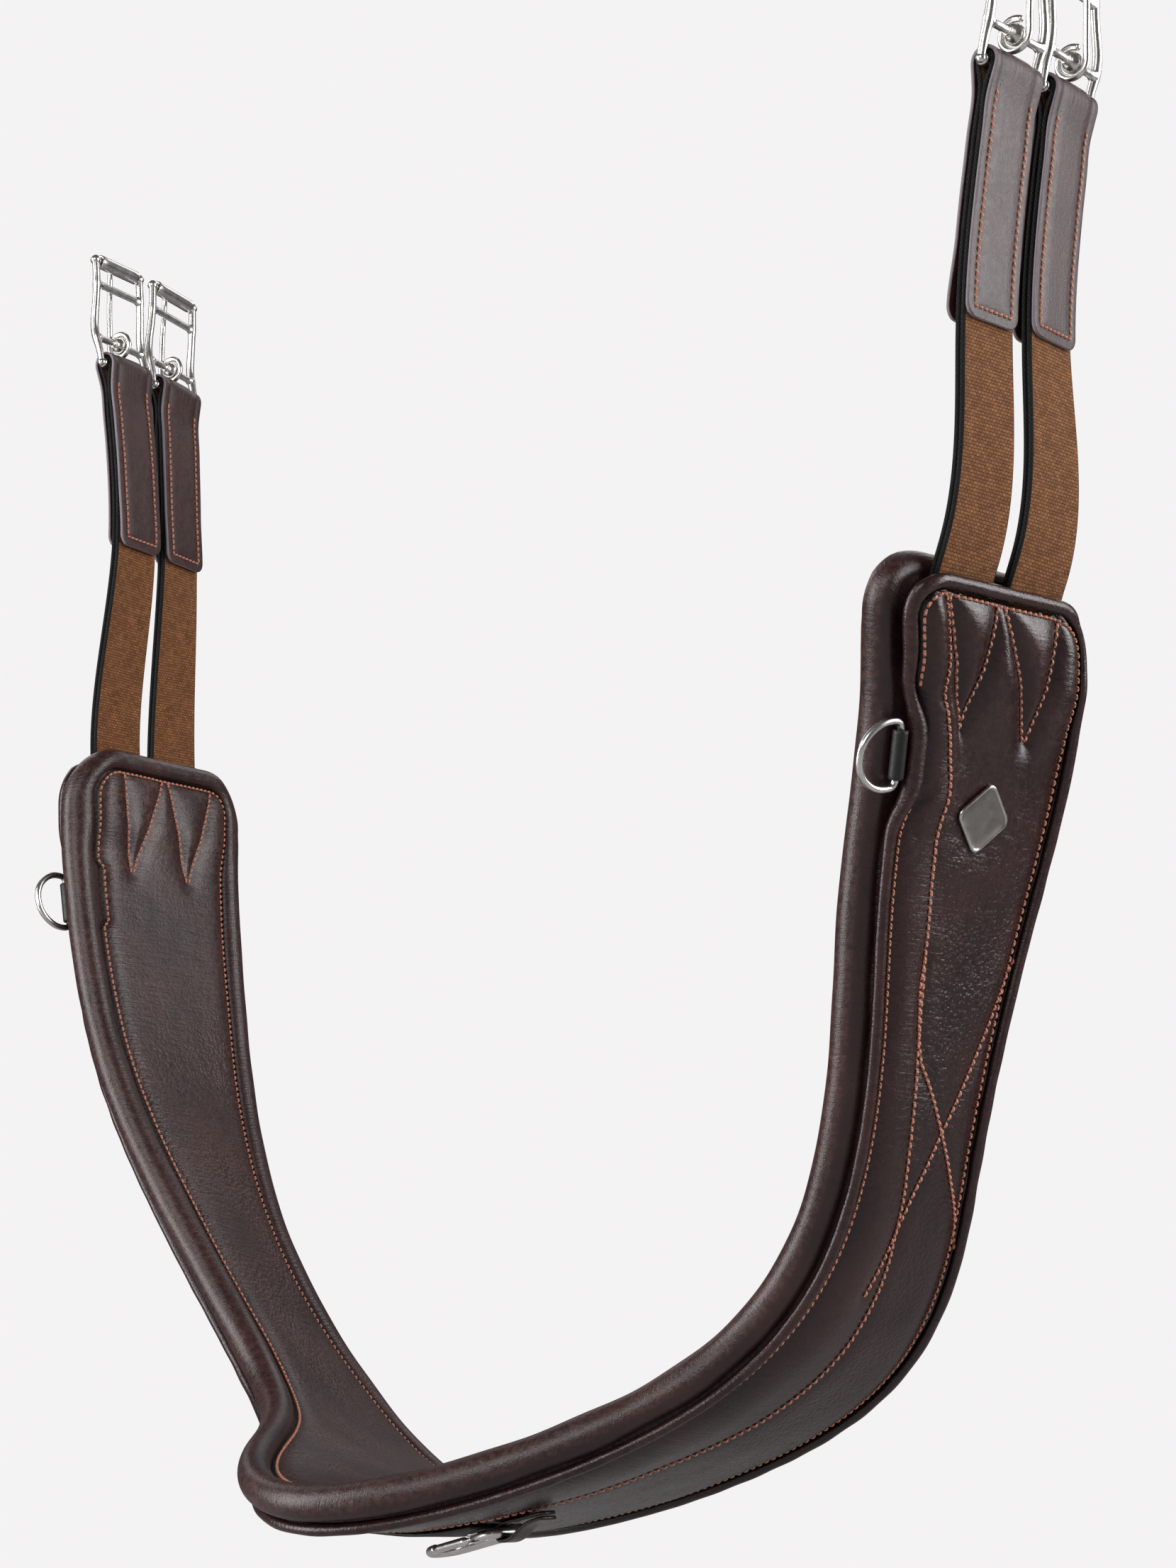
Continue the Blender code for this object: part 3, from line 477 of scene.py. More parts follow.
def webbing(name, warp, weft, gap, cell):
    """Woven narrow band with cells of the given size; lay x runs across it and y along it."""
    mat, tree, shader = nodes_of(name, 0.85)
    coords = lay_coords(tree)
    brick = node(tree, "ShaderNodeTexBrick", {"Vector": coords}, offset=0.5, squash=1.0)
    for key, value in (("Scale", 1.0), ("Mortar Size", 0.17), ("Mortar Smooth", 1.0), ("Bias", 0.0),
                       ("Brick Width", cell[0]), ("Row Height", cell[1])):
        brick.inputs[key].default_value = value
    for key, value in (("Color1", warp), ("Color2", weft), ("Mortar", gap)):
        brick.inputs[key].default_value = (*value, 1.0)
    blotch = noise(tree, coords, 0.12, 3.0)
    fuzz = noise(tree, coords, 3.5, 3.0, 0.7)
    colour = mix_colour(tree, ramp(tree, blotch, 0.3, 0.7), brick.outputs["Color"],
                        mix_colour(tree, 1.0, brick.outputs["Color"], (0.74, 0.72, 0.7), "MULTIPLY"))
    colour = mix_colour(tree, times(tree, ramp(tree, fuzz, 0.45, 0.8), 0.35), colour,
                        tuple(min(1.0, 1.9 * c) for c in warp))
    tree.links.new(colour, shader.inputs["Base Color"])
    height = math_node(tree, "SUBTRACT", 1.0, brick.outputs["Fac"])
    bump_chain(tree, shader, ((height, 0.00022), (fuzz, 0.00018)))
    shader.inputs["Specular IOR Level"].default_value = 0.25
    shader.inputs["Sheen Weight"].default_value = 0.04
    shader.inputs["Sheen Roughness"].default_value = 0.5
    return mat


def thread(name, colour):
    """Twisted sewing thread; lay y runs along each stitch."""
    mat, tree, shader = nodes_of(name, 0.55)
    wave = node(tree, "ShaderNodeTexWave", {"Vector": lay_coords(tree, (1.0, 1.0, 0.0))}, wave_type="BANDS",
                bands_direction="DIAGONAL")
    for key, value in (("Scale", 0.42), ("Distortion", 0.6), ("Detail", 1.0), ("Detail Scale", 2.0)):
        wave.inputs[key].default_value = value
    tint = noise(tree, lay_coords(tree, (1.0, 1.0, 1.0)), 0.3, 2.0)
    ply = mix_colour(tree, wave.outputs["Fac"], shaded(colour, 0.5), colour)
    tree.links.new(mix_colour(tree, times(tree, tint, 0.5), ply, shaded(colour, 0.6)),
                   shader.inputs["Base Color"])
    bump_chain(tree, shader, ((wave.outputs["Fac"], 0.0003),))
    shader.inputs["Sheen Weight"].default_value = 0.05
    return mat


def steel(name, colour, rough, brushed=0.0, lines=(40.0, 40.0, 900.0)):
    """Stainless steel: faint polishing marks, small dents and smears."""
    mat, tree, shader = nodes_of(name, rough, 1.0)
    coords = node(tree, "ShaderNodeTexCoord").outputs["Object"]
    smear = noise(tree, coords, 260.0, 4.0, 0.6)
    mapping = node(tree, "ShaderNodeMapping", {"Vector": coords})
    mapping.inputs["Scale"].default_value = lines
    marks = noise(tree, mapping.outputs[0], 6.0, 3.0, 0.7)
    shade = math_node(tree, "ADD", times(tree, smear, 0.6), times(tree, marks, 0.4))
    tree.links.new(mix_colour(tree, ramp(tree, shade, 0.35, 0.65), shaded(colour, 0.82), colour),
                   shader.inputs["Base Color"])
    spread = times(tree, math_node(tree, "SUBTRACT", shade, 0.5), 0.28)
    tree.links.new(math_node(tree, "ADD", spread, rough, True), shader.inputs["Roughness"])
    bump_chain(tree, shader, ((marks, 0.000004 + 0.00008 * brushed), (smear, 0.00001)))
    return mat


PANEL_LEATHER = leather("panel_leather", (0.016, 0.0046, 0.0046), (0.037, 0.0115, 0.0108),
                        (0.085, 0.036, 0.030), 0.27, pebble=0.7, folds=0.7)
LINING_LEATHER = leather("lining_leather_brown", (0.018, 0.0066, 0.0066), (0.046, 0.0175, 0.0160),
                         (0.13, 0.060, 0.048), 0.36, pebble=1.15, folds=0.5)
CHAPE_LEATHER = leather("chape_leather", (0.026, 0.0085, 0.0083), (0.048, 0.0165, 0.0152),
                        (0.10, 0.05, 0.042), 0.45, pebble=0.5, folds=0.5)
DARK_LEATHER = leather("guard_leather", (0.006, 0.005, 0.005), (0.012, 0.010, 0.0095), (0.03, 0.026, 0.024),
                       0.5)
EDGE = cut_edge("leather_cut_edge", (0.27, 0.225, 0.255))
BROWN_WEAVE = webbing("brown_elastic", (0.19, 0.072, 0.024), (0.325, 0.136, 0.050), (0.026, 0.010, 0.0045),
                      cell=(1.9, 1.25))
BLACK_WEAVE = webbing("black_elastic_edge", (0.012, 0.012, 0.013), (0.022, 0.021, 0.022),
                      (0.002, 0.002, 0.002), cell=(0.5, 0.9))
COPPER = thread("copper_thread", (0.86, 0.345, 0.225))
STEEL = steel("stainless_steel", (0.74, 0.72, 0.69), 0.27)
SATIN = steel("satin_steel", (0.27, 0.255, 0.24), 0.36, 0.6, (900.0, 900.0, 40.0))
SATIN_RIM = steel("satin_rim", (0.58, 0.555, 0.53), 0.24, 0.2)


# ------------------------------------------------------------------ body: grids, seams and skins
def grid_st(rows_apart, columns):
    """Grid over the seam outline, with rounded corners at both ends."""
    r = SEAM_CORNER
    bend = r * (1 - np.cos(np.linspace(0, math.pi / 2, 15)))
    start = bend[:-1]
    count = int((LENGTH - 2 * r) / rows_apart)
    s = np.concatenate([start, np.linspace(r, LENGTH - r, count), (LENGTH - start)[::-1]])
    near = np.clip(near_end(s), 0, r)
    corner = r - np.sqrt(np.maximum(r * r - (r - near) ** 2, 0))
    front, back = -along(FRONT_EDGE, s) + corner, along(BACK_EDGE, s) - corner
    v = np.arange(columns) / (columns - 1)
    # columns a little closer together along both seams
    v = v - 0.018 * np.sin(2 * math.pi * v)
    t = front[:, None] + (back - front)[:, None] * v
    return np.broadcast_to(s[:, None], t.shape).copy(), t


GRID_S, GRID_T = grid_st(rows_apart=1.8, columns=64)
ROWS, COLS = GRID_S.shape
INDEX = np.arange(ROWS * COLS).reshape(ROWS, COLS)
LOOP = np.concatenate([INDEX[:, 0], INDEX[-1, 1:], INDEX[-2::-1, -1], INDEX[0, -2:0:-1]])
LOOP_ST = np.stack([GRID_S.ravel()[LOOP], GRID_T.ravel()[LOOP]], -1)
LOOP_STEP = unit(np.roll(LOOP_ST, -2, 0) - np.roll(LOOP_ST, 2, 0))
LOOP_OUT = np.stack([LOOP_STEP[:, 1], -LOOP_STEP[:, 0]], -1)
GRID_FACES = np.stack([INDEX[:-1, :-1], INDEX[1:, :-1], INDEX[1:, 1:], INDEX[:-1, 1:]], -1)
GRID_FACES = GRID_FACES.reshape(-1, 4).tolist()


def ring_faces(start_a, start_b, rim=None):
    """Faces between two loops of points; the first loop may be the grid's own rim."""
    second = np.arange(len(LOOP))
    first = second if rim is None else rim
    return np.stack([first + start_a, np.roll(first, -1) + start_a, np.roll(second, -1) + start_b,
                     second + start_b], -1).tolist()


def next_ring(step, base):
    """Faces from the grid's rim to the first ring, or from the last ring to the next."""
    return ring_faces(0, base, LOOP) if step == 0 else ring_faces(base - len(LOOP), base)


def ladder(start):
    """Faces that close the last ring straight across the body."""
    back = [ROWS + COLS - 1 + (ROWS - 2 - r) if r < ROWS - 1 else ROWS + COLS - 2 for r in range(ROWS)]
    first = len(LOOP) - (COLS - 2)
    faces = [(r, r + 1, back[r + 1], back[r]) for r in range(1, ROWS - 2)]
    faces.append((ROWS - 2, *range(ROWS - 1, ROWS + COLS - 2), back[ROWS - 1], back[ROWS - 2]))
    faces.append((back[1], back[0], *range(first, len(LOOP)), 0, 1))
    return [tuple(start + i for i in f) for f in faces]


def line_points(points, apart):
    """Points close together along a line in (s, t), as it lies on the leather."""
    points = np.asarray(points, float)
    run = run_length(points)
    at = np.linspace(0, run[-1], max(2, int(run[-1] / apart)))
    return np.stack([np.interp(at, run, points[:, i]) for i in range(2)], -1)


def distance_to(lines, s, t):
    """Distance in mm from each (s, t) to the nearest of the lines."""
    points = np.concatenate([line_points(line, 0.5) for line in lines])
    tree = kdtree.KDTree(len(points))
    for i, (a, b) in enumerate(points):
        tree.insert((a, b, 0), i)
    tree.balance()
    flat = np.stack([s.ravel(), t.ravel()], -1)
    return np.array([tree.find((a, b, 0))[2] for a, b in flat]).reshape(s.shape)


def both_ends(lines):
    """The lines given at the left end, and the same lines mirrored to the right end."""
    left = [np.asarray(line, float) for line in lines]
    return left + [np.stack([LENGTH - line[:, 0], line[:, 1]], -1) for line in left]


def closed_line(points):
    """The points with the first one repeated at the end."""
    return np.concatenate([points, points[:1]])


V_LINES = both_ends([((0.8, -31), (50, -19.5)), ((0.8, -4.2), (50, -18.5)),
                     ((0.8, -0.4), (50, 16.2)), ((1.6, 30), (50, 17.4))])
LONG_S = np.linspace(1.0, LENGTH - 1.0, 400)
LONG_BEND, LONG_BEND_S, LONG_BEND_REACH = 3.8, 50, 22
LONG_SHIFT = LONG_BEND * np.exp(-((near_end(LONG_S) - LONG_BEND_S) / LONG_BEND_REACH) ** 2)
L_LINE = [np.stack([LONG_S, along(LONG_LINE, LONG_S) - LONG_SHIFT], -1)]
CROSS_A = [(131, 40.5), (148, 34.5), (166, 29.3), (182, 25.2), (198.5, 20.8), (221, 16.8), (246, 15.6),
           (264, 14.2)]
CROSS_B = [(134, -9.6), (146, -9.4), (160, -5.5), (173.5, 0.5), (186, 11), (198.5, 20.8), (210, 30),
           (221, 38.4), (234, 49), (245, 56)]
X_LINES = both_ends([CROSS_A, CROSS_B])


D_EDGE, D_V, D_LONG, D_CROSS = (distance_to(lines, GRID_S, GRID_T)
                                for lines in ([closed_line(LOOP_ST)], V_LINES, L_LINE, X_LINES))


def rise(d, width, power=1.3):
    """Height from 0 at a seam towards 1 away from it."""
    return 1 - np.exp(-(np.maximum(d, 0) / width) ** power)


def groove(d, width, power=1.6):
    """One on a line, falling to 0 on both sides."""
    return np.exp(-(d / width) ** power)


def grid_ripple(size, seed):
    """The uneven surface on the grid."""
    return ripple(GRID_S, GRID_T, size, seed=seed)


# shares, from 0 to 1, of the body's lowest stretch and of the puffed ends
BOTTOM_S, BOTTOM_REACH, V_AREA_LENGTH = 475, 85, 62
BOTTOM = np.exp(-((GRID_S - BOTTOM_S) / BOTTOM_REACH) ** 2)
V_AREA = smooth((V_AREA_LENGTH - near_end(GRID_S)) / 26)


def puff(d, reach):
    """Round pillow profile that is full at this distance from its seam."""
    return (1 - (1 - np.clip(d / reach, 0, 1)) ** 2) ** 0.62


def softened(values, rounds):
    """Grid of heights with sharp ridges rounded off."""
    for _ in range(rounds):
        wide = np.pad(values, 1, mode="edge")
        values = 0.5 * values + 0.125 * (wide[:-2, 1:-1] + wide[2:, 1:-1] + wide[1:-1, :-2] + wide[1:-1, 2:])
    return values


# heights of the outer panel, depths of its channels as shares, and the reach of its puffs (mm)
CROWN, FLATTER_BELOW, PUFF_MORE, EDGE_HEIGHT = 8.4, 1.5, 3.0, 4.3
V_DEPTH, CROSS_DEPTH, LONG_DEPTH, LONG_PUFF_DEPTH = 0.86, 0.26, 0.34, 0.62
EDGE_REACH, V_REACH, LONG_REACH = 12, 10.5, 9
DENT_DEPTH, DENT_R, DENT_RIM_R, PUCKER_COUNT, PUCKER_R = 0.45, 11.5, 19, 13, 16


def panel_height():
    """Height of the outer panel over the grid: puffs, channels, the plate's dent and its puckers."""
    crown = CROWN - FLATTER_BELOW * BOTTOM + PUFF_MORE * V_AREA
    # share of the padding's height: low at the rim and along every stitched channel
    edge = (1 - V_AREA) * rise(D_EDGE, 5.2) + V_AREA * puff(D_EDGE, EDGE_REACH)
    pad = edge * (1 - V_DEPTH * (1 - puff(D_V, V_REACH))) * (1 - CROSS_DEPTH * groove(D_CROSS, 2.8))
    pad = pad * (1 - LONG_DEPTH * (1 - V_AREA) * groove(D_LONG, 3.6, 1.3)
                 - LONG_PUFF_DEPTH * V_AREA * (1 - puff(D_LONG, LONG_REACH)))
    pad = softened(pad, 2)
    long_t = along(LONG_LINE, GRID_S)
    front_tube = np.exp(-((GRID_T - (long_t - along(FRONT_EDGE, GRID_S)) / 2) / 9) ** 2)
    n = EDGE_HEIGHT + (crown - EDGE_HEIGHT) * pad
    n = n + 0.7 * front_tube * (GRID_T < long_t) * rise(D_EDGE, 6) * (1 - BOTTOM)
    n = n + (0.20 * grid_ripple(40, 3) + 0.05 * grid_ripple(14, 4)) * pad
    badge_d = np.hypot((GRID_S - BADGE_S) / 1.15, GRID_T - BADGE_T)
    n = n - DENT_DEPTH * groove(badge_d, DENT_R, 4) + 0.55 * np.exp(-((badge_d - DENT_RIM_R) / 6) ** 2)
    spokes = PUCKER_COUNT * np.arctan2(GRID_T - BADGE_T, GRID_S - BADGE_S)
    puckers = np.cos(spokes + 1.4 * np.sin(badge_d / 4))
    n = n + 0.16 * puckers * np.exp(-((badge_d - PUCKER_R) / 5) ** 2)
    dt = GRID_T + along(FRONT_EDGE, GRID_S)
    for s0 in (DRING_S, LENGTH - DRING_S):
        for way in (-1, 1):
            # small folds spread from both ends of the drawn-in stretch
            ds = GRID_S - (s0 + way * 20)
            spread = np.exp(-((np.hypot(ds, dt) - 9) / 6) ** 2)
            n = n + 0.35 * spread * np.cos(7 * np.arctan2(dt, ds) + way)
    return n


def lifted(s, t, n):
    """Panel and piping: over the straps at the ends, and drawn in at the D-rings."""
    dent = dring_zone(s, t)
    return s, t + DRING_INSET * dent, n + END_LIFT * end_zone(s, t) + DRING_LIFT * dent


def lower_crown(s, t):
    """The panel lies flatter over the straps, which already lift it."""
    return 1.5 * end_zone(s, t)


PANEL_N = panel_height()
PANEL_TOP = PANEL_N - lower_crown(GRID_S, GRID_T) * rise(D_EDGE, 4)


def skin_marks(*values):
    """Marks of a skin: painted shade in creases, pebble, folds and wear, each kept between 0 and 1."""
    return {key: np.clip(value, 0, 1) for key, value in zip(("crease_shade", "pebble", "folds", "wear"), values)}


def panel_skin():
    """Outer panel with its quilting, closed round its rim and underneath."""
    s, t, n = lifted(GRID_S, GRID_T, PANEL_TOP)
    verts = [place(s, t, n).reshape(-1, 3)]
    lays = [np.stack([GRID_S, GRID_T, n], -1).reshape(-1, 3)]
    faces = list(GRID_FACES)
    k, base = len(LOOP), ROWS * COLS
    for step, (offset, height) in enumerate(((1.0, 3.9), (1.2, PANEL_UNDER), (-4.0, PANEL_UNDER))):
        st = LOOP_ST + offset * LOOP_OUT
        ls, lt, ln = lifted(st[:, 0], st[:, 1], np.full(k, height))
        verts.append(place(ls, lt, ln))
        lays.append(np.stack([st[:, 0], st[:, 1], ln], -1))
        faces += next_ring(step, base)
        base += k
    faces += ladder(base - k)
    # painted shade along the rim's seam and the stitched channels
    crease_shade = np.maximum.reduce([groove(D_EDGE, 1.6), 0.9 * groove(D_V, 1.4), 0.6 * groove(D_LONG, 1.2),
                                0.4 * groove(D_CROSS, 1.0)])
    arm = smooth((near_end(GRID_S) - 62) / 50)
    inner = smooth((GRID_T - along(LONG_LINE, GRID_S)) / 10)
    patch = 0.5 + 0.5 * grid_ripple(70, 9)
    pebble = 0.22 + arm * inner * (0.45 + 0.5 * patch) * rise(D_EDGE, 9)
    around_lines = np.maximum.reduce([groove(D_EDGE, 9, 2), 0.8 * groove(D_LONG, 6, 2),
                                      0.5 * groove(D_CROSS, 6, 2)])
    folds = 0.12 + 0.75 * around_lines * (0.35 + 0.65 * arm) + 0.2 * patch
    wear = 0.25 * rise(PANEL_N - 8.2, 1.2) + 0.12 * patch
    rim = np.zeros(3 * k)
    # the rim under the piping is painted fully in shade
    marks = skin_marks(*(np.concatenate([on_top.ravel(), rim + on_rim]) for on_top, on_rim in
                         ((crease_shade, 1), (pebble, 0.2), (folds, 0.3), (wear, 0))))
    return piece("panel_skin", np.concatenate(verts), faces, PANEL_LEATHER, np.concatenate(lays), marks,
                 replaces=("outer_panel",))


def piping_skin():
    """Round welt along the panel's rim, flattened where it passes a D-ring."""
    sides = 16
    angles = np.arange(sides) / sides * 2 * math.pi
    lays, verts, faces, k = [], [], [], len(LOOP)
    dent = dring_zone(LOOP_ST[:, 0], LOOP_ST[:, 1])
    radius = PIPING_R + 1.6 * dent + 0.25 * end_zone(LOOP_ST[:, 0], LOOP_ST[:, 1])
    radius = radius + 0.10 * ripple(LOOP_ST[:, 0], LOOP_ST[:, 1], 16, seed=12)
    for i, a in enumerate(angles):
        offset = 1.7 + PIPING_R - 1.1 * dent + radius * math.cos(a)
        st = LOOP_ST + offset[:, None] * LOOP_OUT
        s, t, n = lifted(st[:, 0], st[:, 1], PANEL_UNDER + PIPING_R + radius * math.sin(a))
        verts.append(place(s, t, n))
        lays.append(np.stack([st[:, 0], st[:, 1], n], -1))
        faces += ring_faces(i * k, ((i + 1) % sides) * k)
    count = sides * k
    around = np.repeat(np.cos(angles), k)
    # painted shade on the welt's side that turns in against the panel
    marks = skin_marks(smooth((-around - 0.55) / 0.45), np.full(count, 0.15),
                       np.tile(0.35 + 0.5 * dent, sides), np.repeat(0.35 * (np.sin(angles) > 0.6), k))
    return piece("piping_skin", np.concatenate(verts), faces, PANEL_LEATHER, np.concatenate(lays), marks,
                 replaces=("piping",))


JOG_FROM, JOG_TO, JOG_SOFT, JOG_DEPTH = 46, 79, 3, 3.2


def seam_jog(s, t):
    """How far the lining's front seam steps back beside each D-ring."""
    near = near_end(s)
    return (JOG_DEPTH * smooth((near - JOG_FROM) / JOG_SOFT) * smooth((JOG_TO - near) / JOG_SOFT)
            * (t < middle(s)))


def lining_skin():
    """Inner face and thick padded roll as one skin, closed under the panel."""
    near, dn = near_end(LOOP_ST[:, 0]), near_end(GRID_S)
    jog = seam_jog(*LOOP_ST.T)
    t = GRID_T + seam_jog(GRID_S, GRID_T) * smooth((14 - D_EDGE) / 14)
    face = -8.9 - 2.7 * rise(D_EDGE, 3.6) + 1.5 * groove(D_V, 3.4, 1.3) * rise(D_EDGE, 3)
    face = face - 0.6 * V_AREA * rise(D_V, 7) * rise(D_EDGE, 6)
    face = face + 0.20 * grid_ripple(60, 21) + 0.03 * grid_ripple(17, 22)
    sink = END_SINK * end_zone(GRID_S, GRID_T)
    verts = [place(GRID_S, t, face - sink).reshape(-1, 3)]
    lays = [np.stack([GRID_S, GRID_T, face], -1).reshape(-1, 3)]
    faces = list(GRID_FACES)
    k, base = len(LOOP), ROWS * COLS
    swell = 1 + 0.02 * ripple(LOOP_ST[:, 0], LOOP_ST[:, 1], 40, seed=25)
    pull = 0.012 * ripple(LOOP_ST[:, 0], LOOP_ST[:, 1], 9, seed=26) * (near < 30)
    rings = []
    for a in list(range(-158, -118, 8)) + list(range(-118, 110, 9)):
        c = math.radians(a)
        inner = smooth((-95 - a) / 55)
        r = ROLL_R * (swell + pull)
        offset = (ROLL_OUT + r * math.cos(c)) * (1 - END_TUCK * np.exp(-(near / 10) ** 2)) - jog * inner
        rings.append((offset, ROLL_N + r * math.sin(c) + (0.8 * inner if a < -140 else 0), a))
    rings += [(np.full(k, 2.0), np.full(k, 2.9), 130), (np.full(k, -5.0), np.full(k, 2.6), 150)]
    # painted shade along the seam and the V stitch lines
    crease_shade = [np.maximum(0.9 * groove(D_EDGE, 1.5), 0.8 * groove(D_V, 1.3)).ravel()]
    folds = [(0.30 + 0.55 * groove(D_EDGE, 12, 2) + 0.25 * (0.5 + 0.5 * grid_ripple(60, 5))).ravel()]
    patch = 0.5 + 0.5 * grid_ripple(55, 23)
    pebble = [(0.15 + 0.45 * patch * smooth((dn - 90) / 60)).ravel()]
    wear = [(0.35 * patch + 0.4 * V_AREA * (0.5 + 0.5 * grid_ripple(22, 24))).ravel()]
    for step, (offset, height, a) in enumerate(rings):
        st = LOOP_ST + np.broadcast_to(offset, (k,))[:, None] * LOOP_OUT
        s, tt = st[:, 0], st[:, 1]
        verts.append(place(s, tt, height - END_SINK * end_zone(s, tt)))
        # pattern coordinates run on round the roll; 57.3 degrees to a radian
        around = LOOP_ST + (a + 90) / 57.3 * ROLL_R * LOOP_OUT
        lays.append(np.stack([around[:, 0], around[:, 1], 0 * s], -1))
        faces += next_ring(step, base)
        base += k
        # painted shade where the roll turns in against the inner face and where it tucks under the panel
        crease_shade.append(np.full(k, 0.8 if a < -150 else (0.35 if a > 100 else 0.0)))
        folds.append(np.full(k, 0.42 + 0.35 * (a < -100)) + 0.3 * np.exp(-(near / 22) ** 2))
        pebble.append(np.full(k, 0.12))
        wear.append(np.full(k, 0.28 * (abs(a + 20) < 60)))
    faces += ladder(base - k)
    marks = skin_marks(*(np.concatenate(x) for x in (crease_shade, pebble, folds, wear)))
    skin = piece("lining_skin", np.concatenate(verts), faces, LINING_LEATHER, np.concatenate(lays), marks,
                 replaces=("lining_leather", "foam_core", "load_web_front", "load_web_rear"))
    return skin, t, face - sink


# ------------------------------------------------------------------ stitching
def stitch_rows(tops, normals, pitch=3.1, length=2.7, radius=0.60, skew=0.0):
    """Stitches of twisted thread along a line of points (mm) with surface normals."""
    run = run_length(tops)
    count = max(1, int(run[-1] / pitch))
    # along the stitch, above the leather, thickness: it dives in at both ends
    half = ((-0.5, -0.45, 0.35), (-0.42, 0.15, 0.8), (-0.24, 0.55, 1.0))
    shape = np.array(half + ((0.0, 0.66, 1.05),) + tuple((-x, y, r) for x, y, r in half[::-1]))
    sides, rings = 6, len(shape)
    parts = []
    for i in range(count):
        mid = (i + 0.5) * run[-1] / count
        size = length * rng.uniform(0.93, 1.05)
        at = mid + shape[:, 0] * size
        points = np.stack([np.interp(at, run, tops[:, j]) for j in range(3)], -1)
        up = unit(np.stack([np.interp(at, run, normals[:, j]) for j in range(3)], -1))
        step = unit(points[-1] - points[0])
        side = unit(np.cross(up[3], step))
        lean = side * (skew + rng.uniform(-0.08, 0.08)) * shape[:, :1]
        points = points + up * shape[:, 1:2] * radius * 1.3 + lean
        verts, faces = loft(points, np.broadcast_to(side, points.shape), up,
                            circle(1.0, sides, 0.85)[None] * (radius * shape[:, 2])[:, None, None])
        lay = np.stack([np.tile(np.arange(sides) / sides * 2.9, rings),
                        np.repeat(shape[:, 0] * size, sides) + 3 * i, np.full(rings * sides, i * 1.7)], -1)
        parts.append((verts, faces, lay))
    return parts


def line_on(line, height):
    """Places and normals of a (s, t) line on a surface given by its height function."""
    st = line_points(line, 1.0)
    eps = 0.8

    def at(ds, dt):
        return height(st[:, 0] + ds, st[:, 1] + dt)

    points = at(0, 0)
    normals = np.cross(at(eps, 0) - at(-eps, 0), at(0, eps) - at(0, -eps))
    outward = unit(along(OUTWARD, st[:, 0]))
    normals = unit(normals)
    return points, normals * np.sign((normals * outward).sum(1, keepdims=True))


def grid_reader(values):
    """Reads a grid of values at any (s, t) inside the seam."""
    s_rows, t_low, t_high = GRID_S[:, 0], GRID_T[:, 0], GRID_T[:, -1]
    v_cols = (GRID_T[ROWS // 2] - t_low[ROWS // 2]) / (t_high[ROWS // 2] - t_low[ROWS // 2])

    def read(s, t):
        s = np.clip(s, 0, LENGTH)
        i = np.clip(np.searchsorted(s_rows, s) - 1, 0, ROWS - 2)
        f = (s - s_rows[i]) / (s_rows[i + 1] - s_rows[i])
        v = (t - np.interp(s, s_rows, t_low)) / (np.interp(s, s_rows, t_high) - np.interp(s, s_rows, t_low))
        v = np.clip(v, 0, 1)
        j = np.clip(np.searchsorted(v_cols, v) - 1, 0, COLS - 2)
        g = (v - v_cols[j]) / (v_cols[j + 1] - v_cols[j])
        return ((1 - f) * ((1 - g) * values[i, j] + g * values[i, j + 1])
                + f * ((1 - g) * values[i + 1, j] + g * values[i + 1, j + 1]))

    return read


panel = panel_skin()
piping_skin()
lining, LINING_T_GRID, LINING_N_GRID = lining_skin()
read_panel = grid_reader(PANEL_TOP)
read_lining_n, read_lining_t = grid_reader(LINING_N_GRID), grid_reader(LINING_T_GRID)


def on_panel(s, t):
    """Point on the outer panel."""
    return place(*lifted(s, t, read_panel(s, t)))


def on_lining(s, t):
    """Point on the lining's inner face."""
    return place(s, read_lining_t(s, t), read_lining_n(s, t))


def sew(name, lines, surface, flip=1, **sizes):
    """One piece of thread with a stitch row along each line; flip -1 sews on the inner face."""
    parts = []
    for line in lines:
        points, normals = line_on(line, surface)
        parts += stitch_rows(points, normals * flip, **sizes)
    verts, faces, lay = join_parts(parts)
    return piece(name, verts, faces, COPPER, lay)


# the panel's seam runs out of sight under the swollen welt beside each D-ring
PANEL_SEAM_IN, LINING_SEAM_IN, COVERED_S, COVERED_HALF = 1.1, 0.9, 59, 20
seam_st = LOOP_ST - PANEL_SEAM_IN * LOOP_OUT
covered = ((np.abs(near_end(seam_st[:, 0]) - COVERED_S) < COVERED_HALF)
           & (seam_st[:, 1] < middle(seam_st[:, 0])))
breaks = np.flatnonzero(np.diff(covered.astype(int))) + 1
stretches = zip(np.split(seam_st, breaks), np.split(covered, breaks))
seam = [line for line, hidden in stretches if not hidden[0]]
seam[-1] = np.concatenate([seam[-1], seam[0]])
sew("thread_panel_edge", seam[1:], on_panel)
sew("thread_panel_rows", V_LINES + L_LINE + X_LINES, on_panel, pitch=3.15)
sew("thread_lining", [closed_line(LOOP_ST - LINING_SEAM_IN * LOOP_OUT)] + V_LINES, on_lining, flip=-1,
    pitch=2.9, length=2.3, radius=0.58)


# ------------------------------------------------------------------ straps
BLACK_EDGE = 2.1                       # width of the elastic's black selvedge
CHAPE_CORNER, CHAPE_ROWS, CHAPE_BOTTOM_ROW = 5.2, 11.0, 4.2


